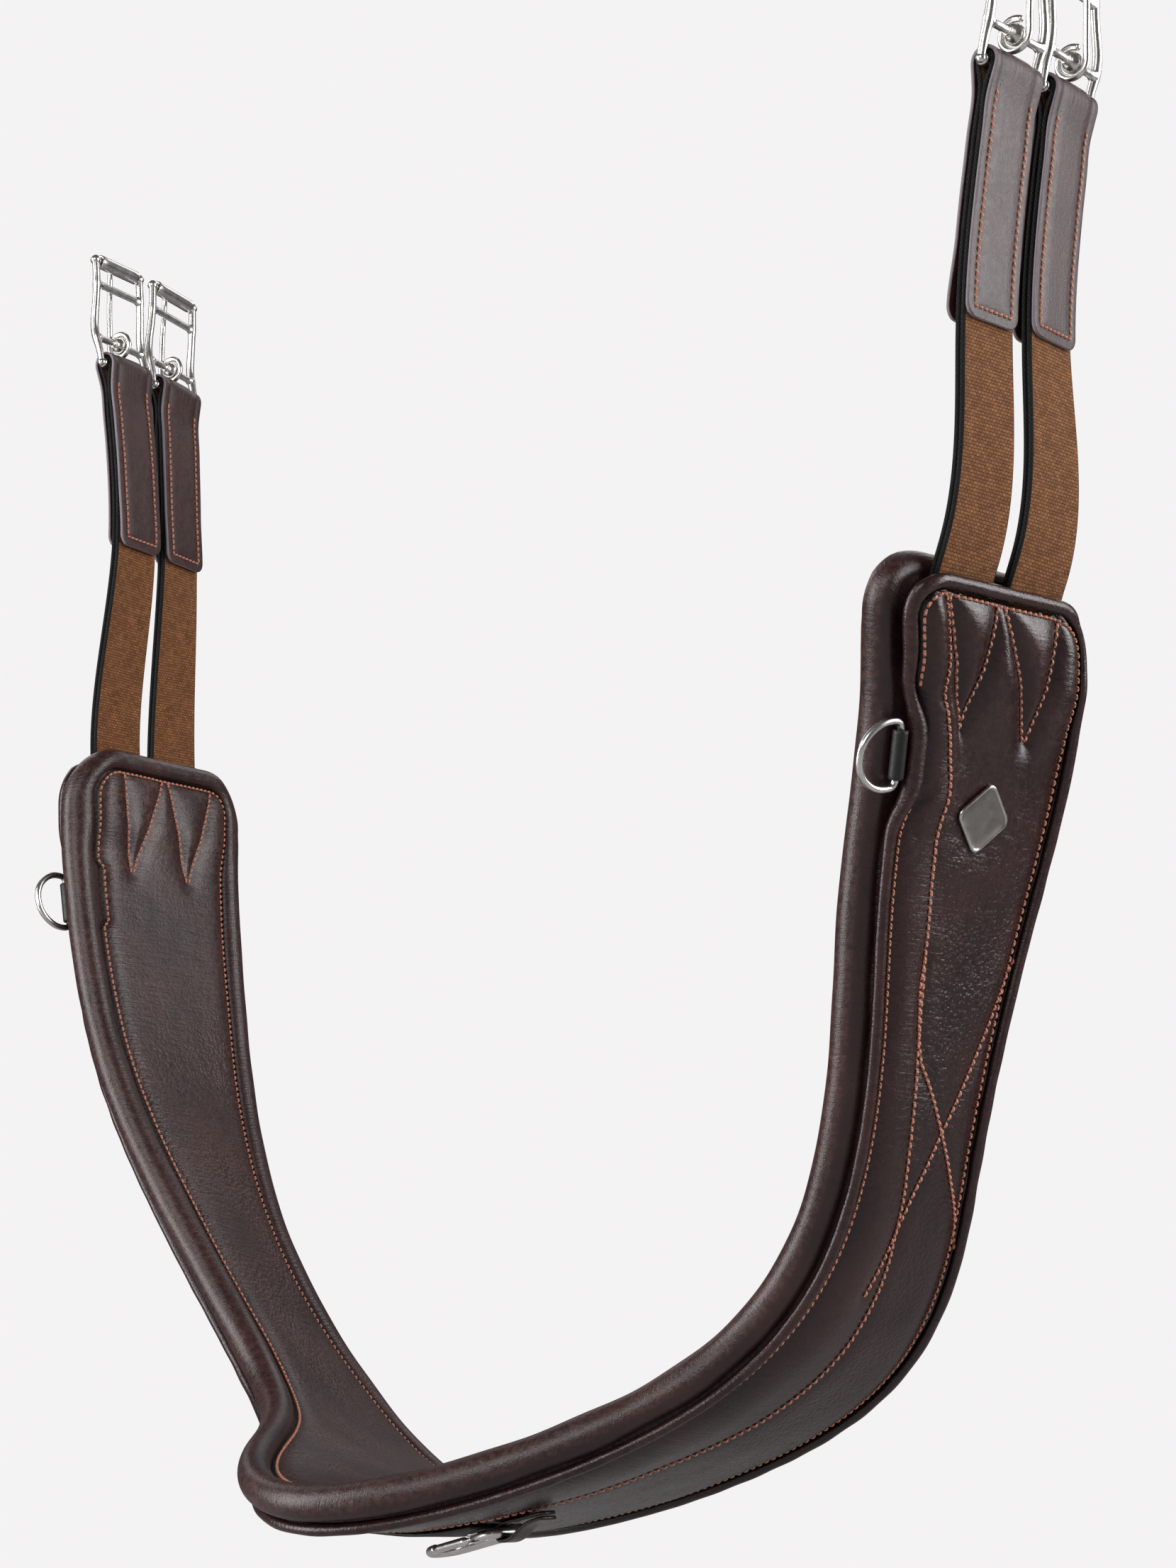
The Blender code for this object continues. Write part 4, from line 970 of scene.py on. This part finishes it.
def strap_run(key):
    """Middle line and axes of a strap, from inside the body's end up to its buckle bar."""
    side, tau, knots, turns = STRAPS[key]
    ends = [s if side < 0 else LENGTH - s for s in (20.0, 8.0, -4.0, -15.0)]
    # the strap lies between the sunk lining and the lifted panel
    n = 3.1 - END_SINK + 3 * CLEAR + ELASTIC_T + 0.3
    points = np.array([place(s, tau, n) for s in ends] + list(knots), float)
    body_turn = math.degrees(math.atan2(*along(ACROSS, ends[0])[[1, 0]]))
    angle = np.array([body_turn] * 4 + [turns[0], turns[1], turns[1]])
    knot = run_length(points)
    fine = np.linspace(0, knot[5], 401)
    line = np.stack([spline(knot, points[:, i], fine) for i in range(3)], -1)
    below = run_length(line[::-1])[::-1]
    turn = np.radians(np.interp(fine, knot, angle))
    up = unit(np.gradient(line, axis=0))
    across = np.stack([np.cos(turn), np.sin(turn), 0 * turn], -1)
    across = unit(across - (across * up).sum(1)[:, None] * up)
    return dict(line=line, below=below, up=up, across=across, out=side * np.cross(across, up))


def on_run(run, x, height, outward):
    """Points (mm) at x across, height above the bar and outward from the strap's middle."""
    depth, over = np.maximum(-height, 0), np.maximum(height, 0)
    order = np.argsort(run["below"])

    def read(key):
        return np.stack([np.interp(depth, run["below"][order], run[key][order, i]) for i in range(3)], -1)

    up, across, out = (unit(read(k)) for k in ("up", "across", "out"))
    points = read("line") + over[..., None] * up + outward[..., None] * out + x[..., None] * across
    return points, up, out


def fold(bottom, leaf, radius, near, steps):
    """Path (height, outward) up one leaf, round the buckle bar and down the other leaf."""
    rise_up = [(h, -leaf) for h in np.linspace(-bottom, -near, steps)]
    rise_up += [(-near * 0.55, -(leaf * 0.55 + radius * 0.45)), (-near * 0.24, -radius * 0.93)]
    turn = [(radius * math.sin(a), -radius * math.cos(a)) for a in np.radians((0, 30, 60, 90, 120, 150, 180))]
    return np.array(rise_up + turn + [(h, -n) for h, n in rise_up[::-1]], float)


def half_round(points):
    """Angles between the two ends of a half circle."""
    return np.linspace(-math.pi / 2, math.pi / 2, points + 2)[1:-1]


def path_normals(path):
    """Unit normals of a path in a plane."""
    step = unit(np.gradient(path, axis=0))
    return np.stack([-step[:, 1], step[:, 0]], -1)


def band(run, path, half_width, half_thick, across_points, swell=None):
    """Folded band with rounded edges; lay is (x across, run along, thickness)."""
    normal = path_normals(path)
    arc = run_length(path)
    face = np.linspace(-1, 1, across_points)
    round_edge = half_round(5)
    profile = [(x, -1.0, 0.0) for x in face] + [(1.0, math.sin(a), math.cos(a)) for a in round_edge]
    profile += [(x, 1.0, 0.0) for x in face[::-1]]
    profile += [(-1.0, -math.sin(a), math.cos(a)) for a in round_edge]
    profile = np.array(profile)
    inner_width = np.broadcast_to(np.asarray(half_width, float), len(path)) - half_thick
    rounding = np.sign(profile[:, 0]) * profile[:, 2] * half_thick
    x = profile[None, :, 0] * inner_width[:, None] + rounding[None]
    h = np.broadcast_to(profile[None, :, 1] * half_thick, x.shape).copy()
    if swell is not None:
        h += np.sign(profile[None, :, 1]) * (np.abs(profile[None, :, 1]) > 0.99) * swell(x, arc[:, None])
    height = path[:, None, 0] + h * normal[:, None, 0]
    outward = path[:, None, 1] + h * normal[:, None, 1]
    points = on_run(run, x, height, outward)[0]
    faces = ring_quads(*x.shape) + ring_caps(*x.shape)
    lay = np.stack([x, np.broadcast_to(arc[:, None], x.shape), h], -1).reshape(-1, 3)
    side = np.broadcast_to(np.abs(profile[:, 1]) < 0.99, x.shape).reshape(-1)
    return points.reshape(-1, 3), faces, lay, side


def elastic_strap(key, run):
    """Two layers of elastic folded over the buckle bar, between the body and its chape."""
    bottom = run["below"][0] - 0.5
    path = finer(fold(bottom, ELASTIC_T / 2 + 0.1, BAR_R + CLEAR + ELASTIC_T / 2, 9, 17), 230)
    half = ELASTIC_W / 2
    verts, faces, lay, _ = band(run, path, half, ELASTIC_T / 2 - 0.02, 15)
    edge = np.abs(lay[:, 0]) > half - BLACK_EDGE
    black = np.array([sum(edge[i] for i in f) > len(f) / 2 for f in faces])
    strap = piece("strap_elastic_" + key, verts, faces, [BROWN_WEAVE, BLACK_WEAVE], lay, {"rim": edge}, black,
                  body=None)
    low = on_run(run, np.zeros(1), np.array([-(run["below"][0] - 24)]), np.zeros(1))[0][0]
    high = on_run(run, np.zeros(1), np.array([-CHAPE_LEN - 2]), np.zeros(1))[0][0]
    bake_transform(strap)
    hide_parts("elastic_" + key)


def chape_cover(key, run):
    """Leather folded over the elastic's top, with pressed seams and one U of stitches on each leaf."""
    leaf = ELASTIC_T + 0.1 + CLEAR + CHAPE_T / 2
    radius = BAR_R + 2 * CLEAR + ELASTIC_T + CHAPE_T / 2
    path = finer(fold(CHAPE_LEN, leaf, radius, 12, 8), 150)
    # the inner leaf stands off the elastic at its lower end, more so on the right straps
    flare = 2.2 if key.startswith("right") else 1.1
    path[:, 1] -= flare * smooth((-path[:, 0] - 62) / 30) * (path[:, 1] < 0)
    # more points where the lower corners round off
    path = np.concatenate([np.linspace(path[0], path[6], 26)[:-1], path[6:-6],
                           np.linspace(path[-7], path[-1], 26)[1:]])
    tail = run_length(path)
    near = np.minimum(tail, tail[-1] - tail)
    corner = CHAPE_CORNER
    drop = corner - np.sqrt(np.maximum(corner ** 2 - (corner - np.clip(near, 0, corner)) ** 2, 0))
    half = CHAPE_W / 2 - drop
    rows, bottom = CHAPE_ROWS, CHAPE_BOTTOM_ROW

    def swell(x, arc):
        end = np.minimum(arc, tail[-1] - arc)
        line = np.maximum.reduce([np.exp(-((np.abs(x) - rows) / 1.0) ** 2) * (end > bottom),
                                  np.exp(-((end - bottom) / 1.0) ** 2) * (np.abs(x) < rows)])
        inside = smooth((rows - np.abs(x)) / 5) * smooth((end - bottom) / 5)
        pressed = 0.30 * line + 0.12 * smooth((np.abs(x) - 13.6) / 1.6)
        return 0.34 * inside - pressed + 0.06 * ripple(arc, x, 24, seed=31)

    verts, faces, lay, side = band(run, path, half, CHAPE_T / 2, 33, swell)
    end = np.minimum(lay[:, 1], tail[-1] - lay[:, 1])
    cut_points = side | (end < 1e-6)
    cut = np.array([all(cut_points[i] for i in f) for f in faces])
    # painted shade along the pressed stitch seams
    seam_mark = np.exp(-((np.abs(lay[:, 0]) - rows) / 0.9) ** 2)
    marks = {"crease_shade": 0.55 * seam_mark * (end > bottom), "pebble": np.full(len(lay), 0.22),
             "folds": 0.12 + 0.5 * np.exp(-(np.abs(lay[:, 1] - tail[-1] / 2) / 12) ** 2),
             "wear": 0.35 * smooth((np.abs(lay[:, 0]) - 12.5) / 2) + 0.15}
    piece("cover_chape_" + key, verts, faces, [CHAPE_LEATHER, EDGE], lay, marks, cut, body="chape_" + key,
          replaces=("chape_" + key,))
    # stitching on the faces away from the elastic: one U on each leaf
    parts = []
    normal = path_normals(path)
    reach = np.linspace(bottom, tail[-1] / 2 - 17.5, 90)
    u_line = [(-rows, r) for r in reach[::-1]]
    u_line += [(x, bottom) for x in np.linspace(-rows + 1, rows - 1, 24)]
    u_line = np.array(u_line + [(rows, r) for r in reach])
    for back in (False, True):
        a = tail[-1] - u_line[:, 1] if back else u_line[:, 1]
        height, outward = np.interp(a, tail, path[:, 0]), np.interp(a, tail, path[:, 1])
        nh, no = np.interp(a, tail, normal[:, 0]), np.interp(a, tail, normal[:, 1])
        out_sign = np.sign(np.interp(a, tail, path[:, 1]) * no)
        rise_by = (CHAPE_T / 2 - 0.28) * out_sign
        points, up, out = on_run(run, u_line[:, 0], height + nh * rise_by, outward + no * rise_by)
        normals = unit((nh * out_sign)[:, None] * up + (no * out_sign)[:, None] * out)
        parts += stitch_rows(points, normals, pitch=2.95, length=2.45, radius=0.54, skew=0.25)
    stitched = join_parts(parts)
    piece("thread_chape_" + key, stitched[0], stitched[1], COPPER, stitched[2], body="chape_" + key)


# ------------------------------------------------------------------ buckles
def flared(x, radius, reach, more=0.45):
    """Bar radius that grows into its rails at both ends."""
    return radius * (1 + more * np.exp(-((reach - np.abs(x)) / 1.6) ** 2))


def buckle_parts():
    """Cast frame: two bowed rails, four cross-bars, rounded joints and the collar with its ball."""
    rail = finer(((0, 17.3, 0), (7, 17.5, 0.7), (14, 17.8, 2.0), (20, 17.8, 2.5), (28, 17.5, 1.7),
                  (37, 17.1, 0.7), (46, 17.0, 0.1), (53, 17.0, 0)), 80)
    height = rail[:, 0]
    thick = np.interp(height, (0, 7, 14, 20, 28, 37, 46, 53), (1.55, 1.75, 2.0, 2.0, 1.9, 1.85, 1.85, 1.85))
    thick = thick + 0.16 * sum(np.exp(-((height - at) / 2.6) ** 2) for at in (PIVOT_H, CROSSBAR_H))
    parts = [tube(np.stack([rail[:, 1] * side, rail[:, 2], height], -1), thick, 26, up=(0.0, 1.0, 0.0),
                  round_ends=1.2) for side in (-1, 1)]
    for x, y, z, radius, squash in ((17.3, 0, 0, BAR_R, 1), (17.7, PIVOT_N, PIVOT_H, 1.6, 1),
                                    (16.8, 0.45, CROSSBAR_H, 1.85, 0.72), (17.0, 0, ROLLER_H, 1.5, 1)):
        across = np.linspace(-x, x, 41)
        path = np.stack([across, np.full(41, y), np.full(41, z)], -1)
        parts.append(tube(path, flared(across, radius, x - 1), 20, up=(0.0, 1.0, 0.0), squash=squash))
    for x, z, radius in ((17.1, ROLLER_H, 2.5), (17.3, 0, 1.95)):
        parts += [ball((x * side, 0, z), radius) for side in (-1, 1)]
    collar = np.linspace(-5.6, 5.6, 25)
    path = np.stack([collar, np.full(25, PIVOT_N), np.full(25, PIVOT_H)], -1)
    parts.append(tube(path, 2.35 - 0.05 * np.abs(collar), 20, up=(0.0, 1.0, 0.0), round_ends=0.4))
    parts.append(ball((0, PIVOT_N, PIVOT_H), PIVOT_BALL_R, 20, 28, (0.94, 1, 1)))
    return join_parts(parts)


def tongue_parts():
    """Wire ring round the pivot bar that runs on into the rod over the roller."""
    ring_path = [(0, PIVOT_N + TONGUE_RING_R * math.cos(a), PIVOT_H + TONGUE_RING_R * math.sin(a))
                 for a in np.radians(np.arange(-290, 1, 24.166667))]
    tip_y = ROLLER_R + CLEAR + TONGUE_WIRE_R
    path = ring_path + [(0, 7.5, PIVOT_H + 5), (0, 6.9, PIVOT_H + 14), (0, 6.0, PIVOT_H + 26),
                        (0, tip_y + 0.3, ROLLER_H - 5), (0, tip_y, ROLLER_H), (0, tip_y - 0.2, ROLLER_H + 4)]
    path = finer(path, 120)
    taper = TONGUE_WIRE_R - 0.35 * smooth((path[:, 2] - ROLLER_H + 2) / 5)
    return tube(path, taper, 18, up=(1.0, 0.0, 0.0), round_ends=0.9)


def roller_parts():
    """Tube with rounded rims round the roller bar."""
    outline = [(1.95, -14.2), (2.9, -14.2), (3.2, -14.0), (3.3, -13.7), (3.3, 13.7), (3.2, 14.0), (2.9, 14.2),
               (1.95, 14.2)]
    profile = []
    for (r0, x0), (r1, x1) in zip(outline, outline[1:] + outline[:1]):
        pieces = 8 if abs(x1 - x0) > 5 else 1
        profile += [(r0 + (r1 - r0) * f, x0 + (x1 - x0) * f) for f in np.arange(pieces) / pieces]
    sides, m = 44, len(profile)
    a = np.arange(sides) * 2 * math.pi / sides
    rows = np.array([[(x, r * math.cos(b), ROLLER_H + r * math.sin(b)) for r, x in profile] for b in a])
    return rows.reshape(-1, 3), ring_quads(sides, m, closed=True)


def buckle_axes(key, run):
    """Origin on the bar, across, outward and up axes of a strap's buckle."""
    bar, top = (np.array(p, float) for p in STRAPS[key][2][1:])
    up = unit(top - bar)
    across = run["across"][-1]
    across = unit(across - across.dot(up) * up)
    return run["line"][-1], across, STRAPS[key][0] * np.cross(across, up), up


def steel_piece(name, part, axes, body, replaces, look=STEEL):
    """Metal piece that stands for one CAD solid; its points may be given along axes."""
    verts = part[0] if axes is None else in_frame(axes, part[0])
    piece(name, verts, part[1], look, body=body, replaces=(replaces,))


shapes = buckle_parts(), tongue_parts(), roller_parts()
for strap_key in STRAPS:
    strap = strap_run(strap_key)
    axes_here = buckle_axes(strap_key, strap)
    elastic_strap(strap_key, strap)
    chape_cover(strap_key, strap)
    for label, shape in zip(("buckle", "tongue", "roller"), shapes):
        solid = f"{label}_{strap_key}"
        steel_piece(f"{label}_cast_{strap_key}", shape, axes_here, solid, solid)


# ------------------------------------------------------------------ D-rings, hook, badge
def edge_frame(s):
    """Place on the front edge at s, with the axes along it, away from the body and outward."""
    near, centre, far = (place(a, -along(FRONT_EDGE, a) - DRING_OUT, DRING_N) for a in (s - 12, s, s + 12))
    a_axis, n_axis = unit(far - near), unit(along(OUTWARD, s))
    n_axis = unit(n_axis - n_axis.dot(a_axis) * a_axis)
    return centre, a_axis, np.cross(n_axis, a_axis), n_axis


LOOP_HALF, LOOP_ROWS = 9.2, 48           # leather loop round each D-ring's bar
DRING_HALF = ((5, 0), (9.4, 0), (11.8, 1.2), (12.6, 4.2), (12.1, 8.6), (9.9, 12.9), (5.8, 16.6))
for label, at_s in (("left", DRING_S), ("right", LENGTH - DRING_S)):
    mirrored = [(-a, e) for a, e in DRING_HALF[::-1]]
    outline = finer([(0, 0), *DRING_HALF, (0, 18), *mirrored], 120, closed=True)
    centre, a_axis, e_axis, n_axis = edge_frame(at_s)
    wire = tube(centre + outline[:, :1] * a_axis + outline[:, 1:] * e_axis, DRING_WIRE_R, 20, closed=True,
                up=n_axis)
    steel_piece("dring_wire_" + label, wire, None, "dring_" + label, "dring_" + label)
    radius = DRING_WIRE_R + CLEAR + 0.6
    path = [(-12.0, -radius), (-8, -radius), (-4, -radius)]
    path += [(radius * math.sin(a), -radius * math.cos(a)) for a in np.radians(np.arange(0, 256, 30))]
    path = finer(path, LOOP_ROWS)
    step = unit(np.gradient(path, axis=0))
    centres = centre + path[:, :1] * e_axis + path[:, 1:] * n_axis
    side = -step[:, 1:] * e_axis + step[:, :1] * n_axis
    flat = np.linspace(0.4 - LOOP_HALF, LOOP_HALF - 0.4, 17)
    profile = np.array([(x, -0.6) for x in flat] + [(LOOP_HALF, -0.3), (LOOP_HALF, 0.3)]
                       + [(x, 0.6) for x in flat[::-1]] + [(-LOOP_HALF, 0.3), (-LOOP_HALF, -0.3)])
    verts, faces = loft(centres, np.broadcast_to(a_axis, centres.shape), side, profile)
    lay = np.stack([np.tile(profile[:, 0], LOOP_ROWS), np.repeat(np.arange(LOOP_ROWS) * 0.5, len(profile)),
                    np.tile(profile[:, 1], LOOP_ROWS)], -1)
    # painted shade darkens the whole loop evenly
    piece("tab_dring_" + label, verts, faces, DARK_LEATHER, lay, {"crease_shade": np.full(len(lay), 0.8)},
          replaces=("dring_tab_" + label,))


along_hook, across_hook, out_hook = (unit(along(table, HOOK_S - 8)) for table in (TANGENT, ACROSS, OUTWARD))
hook_axes = (place(HOOK_S, HOOK_T, HOOK_N), -along_hook, across_hook, out_hook)
wire = finer(((9.0, -7.4), (5.5, -7.6), (2.2, -6.9), (0.3, -4.6), (0, -1.5), (0, 1.5), (0.3, 4.6), (2.2, 6.9),
              (5.5, 7.6), (14, 7.4), (24, 7.2), (33, 7.4), (38.2, 6.6), (41.6, 3.6), (42.4, 0), (41.2, -3.8),
              (37.8, -6.6), (34.4, -7.4)), 150)
wire = np.concatenate([wire, np.zeros((len(wire), 1))], -1)
pin_at = (12.6, -7.4)


def cheek(n0, n1):
    """Plate with a round end beside the gate's pin."""
    bend = np.linspace(-0.62 * math.pi, 0.62 * math.pi, 24)
    rim = [(7.4, -9.2)] + [(pin_at[0] + 1.9 * math.cos(a), pin_at[1] + 1.8 * math.sin(a)) for a in bend]
    rim.append((7.4, -5.6))
    points = np.array([(x, y, n) for n in (n0, n1) for x, y in rim])
    return points, ring_caps(2, len(rim)) + ring_quads(2, len(rim))


hook_solid = join_parts([tube(wire, HOOK_WIRE_R, 20, round_ends=1.2), cheek(-1.95, -1.25), cheek(1.25, 1.95)])
steel_piece("hook_cast", hook_solid, hook_axes, "hook", "hook_body")
lever_x = np.concatenate([np.linspace(11.3, 14.4, 6), np.linspace(14.9, 32.4, 30)])
lever_r = np.interp(lever_x, (11.3, 12.6, 14.4, 17.0, 32.6), (0.6, 0.7, 0.7, 1.7, 1.65))
lever = tube(np.stack([lever_x, np.full(36, -7.4), np.zeros(36)], -1), lever_r, 18, round_ends=0.8)
eye = tube([(*pin_at, -0.7), (*pin_at, 0), (*pin_at, 0.7)], 1.6, 24, up=(1.0, 0.0, 0.0))
steel_piece("hook_gate_cast", join_parts([lever, eye]), hook_axes, "hook_gate", "hook_gate")
turns = np.linspace(0, 2 * math.pi * 1.6, 60)
coil = [(pin_at[0] + 1.2 * math.cos(x), pin_at[1] + 1.2 * math.sin(x), 0.9 + 0.02 * x) for x in turns]
steel_piece("hook_coil", tube(coil, 0.1, 8), hook_axes, "hook", "hook_spring", SATIN)
pin_line = np.array([(*pin_at, n) for n in np.linspace(-2.2, 2.2, 7)])
pin = tube(pin_line, (0.9, 0.9, 0.6, 0.6, 0.6, 0.9, 0.9), 20, up=(1.0, 0.0, 0.0), round_ends=0.15)
steel_piece("hook_rivet", pin, hook_axes, "hook", "hook_pin", SATIN)


def rounded_strip(rows, half_widths, thick, lift_axis, side_axis):
    """Thin leather strip through the rows of centres, with rounded edges."""
    h, profile = thick / 2, []
    for w in half_widths - h:
        flat = np.linspace(-1, 1, 15) * w
        edge = [(w + h * math.cos(a), h * math.sin(a)) for a in half_round(5)]
        profile.append([(x, -h) for x in flat] + edge + [(x, h) for x in flat[::-1]]
                       + [(-x, -y) for x, y in edge])
    profile = np.array(profile)
    verts, faces = loft(rows, side_axis, lift_axis, profile)
    run = np.broadcast_to(run_length(rows)[:, None], profile.shape[:2])
    lay = np.stack([profile[..., 0], run, profile[..., 1]], -1)
    return verts, faces, lay.reshape(-1, 3)


tab_axes = (hook_axes[0], along_hook, across_hook, out_hook)
outer = HOOK_WIRE_R + CLEAR + 0.8
path = [(24, -3.0), (16, -outer), (8, -outer)]
path += [(-outer * math.sin(a), -outer * math.cos(a)) for a in np.radians(np.arange(0, 181, 30))]
path = finer(path + [(6, 2.6), (11, 0.4), (17, -0.9), (24, -1.1)], 70)
step = unit(np.gradient(path, axis=0))
rows = in_frame(tab_axes, np.stack([path[:, 0], 0 * path[:, 0], path[:, 1]], -1))
lift_axis = -step[:, 1:] * along_hook + step[:, :1] * out_hook
verts, faces, lay = rounded_strip(rows, np.full(70, 4.0), 1.5, lift_axis,
                                  np.broadcast_to(across_hook, rows.shape))
piece("tab_hook", verts, faces, PANEL_LEATHER, lay, {"folds": np.full(len(lay), 0.3)},
      replaces=("hook_tab",))

# guard flap: it rises off the body towards its free end, where its corners round off
GUARD_FREE, GUARD_ROOT, GUARD_HALF, GUARD_N = 423.5, 498, 13.5, 8.0
s = np.linspace(GUARD_FREE, GUARD_ROOT, 90)
base = GUARD_N + 3.5 * smooth((446 - s) / 24)
half = GUARD_HALF - 5.0 * smooth((431 - s) / 8) ** 2
rows = place(s, HOOK_T, base)
verts, faces, lay = rounded_strip(rows, half, 1.5, unit(along(OUTWARD, s)), unit(along(ACROSS, s)))
piece("flap_hook_guard", verts, faces, DARK_LEATHER, lay,
      {"wear": smooth((np.abs(lay[:, 0]) - 10) / 4), "folds": np.full(len(lay), 0.25)},
      replaces=("hook_guard",))


BADGE_LONG, BADGE_WIDE, BADGE_ROUND, BADGE_N = 14.2, 13.8, 0.2, 8.45


def badge_plate():
    """Rounded rhombus with a raised polished rim round a brushed field."""
    corners = np.array(((BADGE_LONG, 0), (0, BADGE_WIDE), (-BADGE_LONG, 0), (0, -BADGE_WIDE)))
    outline = []
    for i in range(4):
        corner, before, after = corners[i], corners[i - 1], corners[(i + 1) % 4]
        for f in np.linspace(0, 1, 9):
            a, b = corner + BADGE_ROUND * (before - corner), corner + BADGE_ROUND * (after - corner)
            outline.append((1 - f) ** 2 * a + 2 * f * (1 - f) * corner + f * f * b)
    outline = np.array(outline)
    axes = (place(BADGE_S, BADGE_T, BADGE_N), unit(along(TANGENT, BADGE_S)), unit(along(ACROSS, BADGE_S)),
            unit(along(OUTWARD, BADGE_S)))
    # share of the outline and height of each ring, from the leather over the rim to the middle
    rings = ((0.96, 0.0), (1.0, 0.3), (1.005, 0.9), (0.99, 1.35), (0.95, 1.55), (0.915, 1.5), (0.89, 1.2),
             (0.87, 1.12), (0.6, 1.16), (0.3, 1.18), (0.03, 1.18))
    k = len(outline)
    verts = np.concatenate([np.concatenate([outline * scale, np.full((k, 1), n)], -1) for scale, n in rings])
    faces = ring_quads(len(rings), k) + ring_caps(len(rings), k)
    # the first six bands of faces are the rim
    slots = [0 if f[0] < 6 * k and len(f) == 4 else 1 for f in faces]
    return in_frame(axes, verts), faces, slots


verts, faces, slots = badge_plate()
piece("badge_plate", verts, faces, [SATIN_RIM, SATIN], face_slot=slots,
      replaces=("badge",))

# ------------------------------------------------------------------ camera, floor and light
CAMERA_AT = Vector((0.91292, -0.83502, -0.50945))
# the camera's place in metres and the directions of its picture
RIGHT, UP = Vector((0.6865, 0.7270, -0.0140)), Vector((0.1408, -0.1140, 0.9835))
AHEAD = Vector((-0.7133, 0.6771, 0.1806))
camera_data = bpy.data.cameras.new("camera")
camera_data.sensor_fit, camera_data.sensor_width, camera_data.lens = "HORIZONTAL", 36.0, 92.93
camera_data.clip_start, camera_data.clip_end = 0.01, 100.0
camera = bpy.data.objects.new("camera", camera_data)
turn = Matrix((RIGHT, UP, -AHEAD)).transposed().to_4x4()
camera.matrix_world = Matrix.Translation(CAMERA_AT) @ turn
bpy.context.scene.collection.objects.link(camera)
bpy.context.scene.camera = camera

BACKGROUND = (0.905, 0.892, 0.898)
SURROUND_LIGHT, FLOOR_DROP = 0.11, 0.16
world = bpy.data.worlds.new("studio")
bpy.context.scene.world = world
world.use_nodes = True
tree = world.node_tree
tree.nodes.clear()
seen = node(tree, "ShaderNodeBackground", Color=(*BACKGROUND, 1.0), Strength=1.0)
lit = node(tree, "ShaderNodeBackground", Color=(1.0, 0.99, 0.98, 1.0), Strength=SURROUND_LIGHT)
switch = node(tree, "ShaderNodeMixShader", {0: node(tree, "ShaderNodeLightPath").outputs["Is Camera Ray"]})
tree.links.new(lit.outputs[0], switch.inputs[1])
tree.links.new(seen.outputs[0], switch.inputs[2])
tree.links.new(switch.outputs[0], node(tree, "ShaderNodeOutputWorld").inputs["Surface"])

bm = bmesh.new()
bmesh.ops.create_circle(bm, cap_ends=True, segments=96, radius=14.0)
floor_mesh = bpy.data.meshes.new("floor")
bm.to_mesh(floor_mesh)
bm.free()
floor = bpy.data.objects.new("floor", floor_mesh)
floor.location = (0, 0, cad_box[0][2] - FLOOR_DROP)
floor.visible_camera = False
bpy.context.scene.collection.objects.link(floor)
mat, tree, shader = nodes_of("pale_floor", 0.9)
shader.inputs["Base Color"].default_value = (0.42, 0.415, 0.418, 1.0)
floor_mesh.materials.append(mat)


def soft_light(name, at, aim, size, power):
    """White rectangular light (m, W) that the camera doesn't see."""
    data = bpy.data.lights.new(name, "AREA")
    data.shape, data.size, data.size_y = "RECTANGLE", size[0], size[1]
    data.energy = power
    light = bpy.data.objects.new(name, data)
    light.location = at
    light.rotation_euler = (Vector(aim) - Vector(at)).to_track_quat("-Z", "Y").to_euler()
    light.visible_camera = False
    bpy.context.scene.collection.objects.link(light)


centre_at = Vector((0.0, 0.0, -0.3))
level_ahead = Vector((AHEAD.x, AHEAD.y, 0)).normalized()
level_right = Vector((RIGHT.x, RIGHT.y, 0)).normalized()


def around(right, ahead, up):
    """Place in metres from the middle of the girth, as the camera stands."""
    return centre_at + level_right * right + level_ahead * ahead + Vector((0, 0, up))


right_aim, left_aim = around(0.0, -0.30, 0.50), around(0.0, -0.35, 0.25)
soft_light("right_box", around(1.35, -0.30, 0.50), right_aim, (0.80, 1.15), 21)
soft_light("left_box", around(-1.35, -0.35, 0.25), left_aim, (0.6, 1.4), 22)
soft_light("front_fill", around(-0.60, -1.7, 0.55), centre_at, (0.7, 0.9), 14)
soft_light("back_left", around(-1.0, 1.5, 1.3), centre_at, (1.0, 0.9), 5)
soft_light("back_right", around(0.7, 1.6, 1.5), centre_at, (1.0, 0.9), 5)
bpy.context.scene.view_settings.view_transform = "Standard"
bpy.context.scene.view_settings.look = "None"
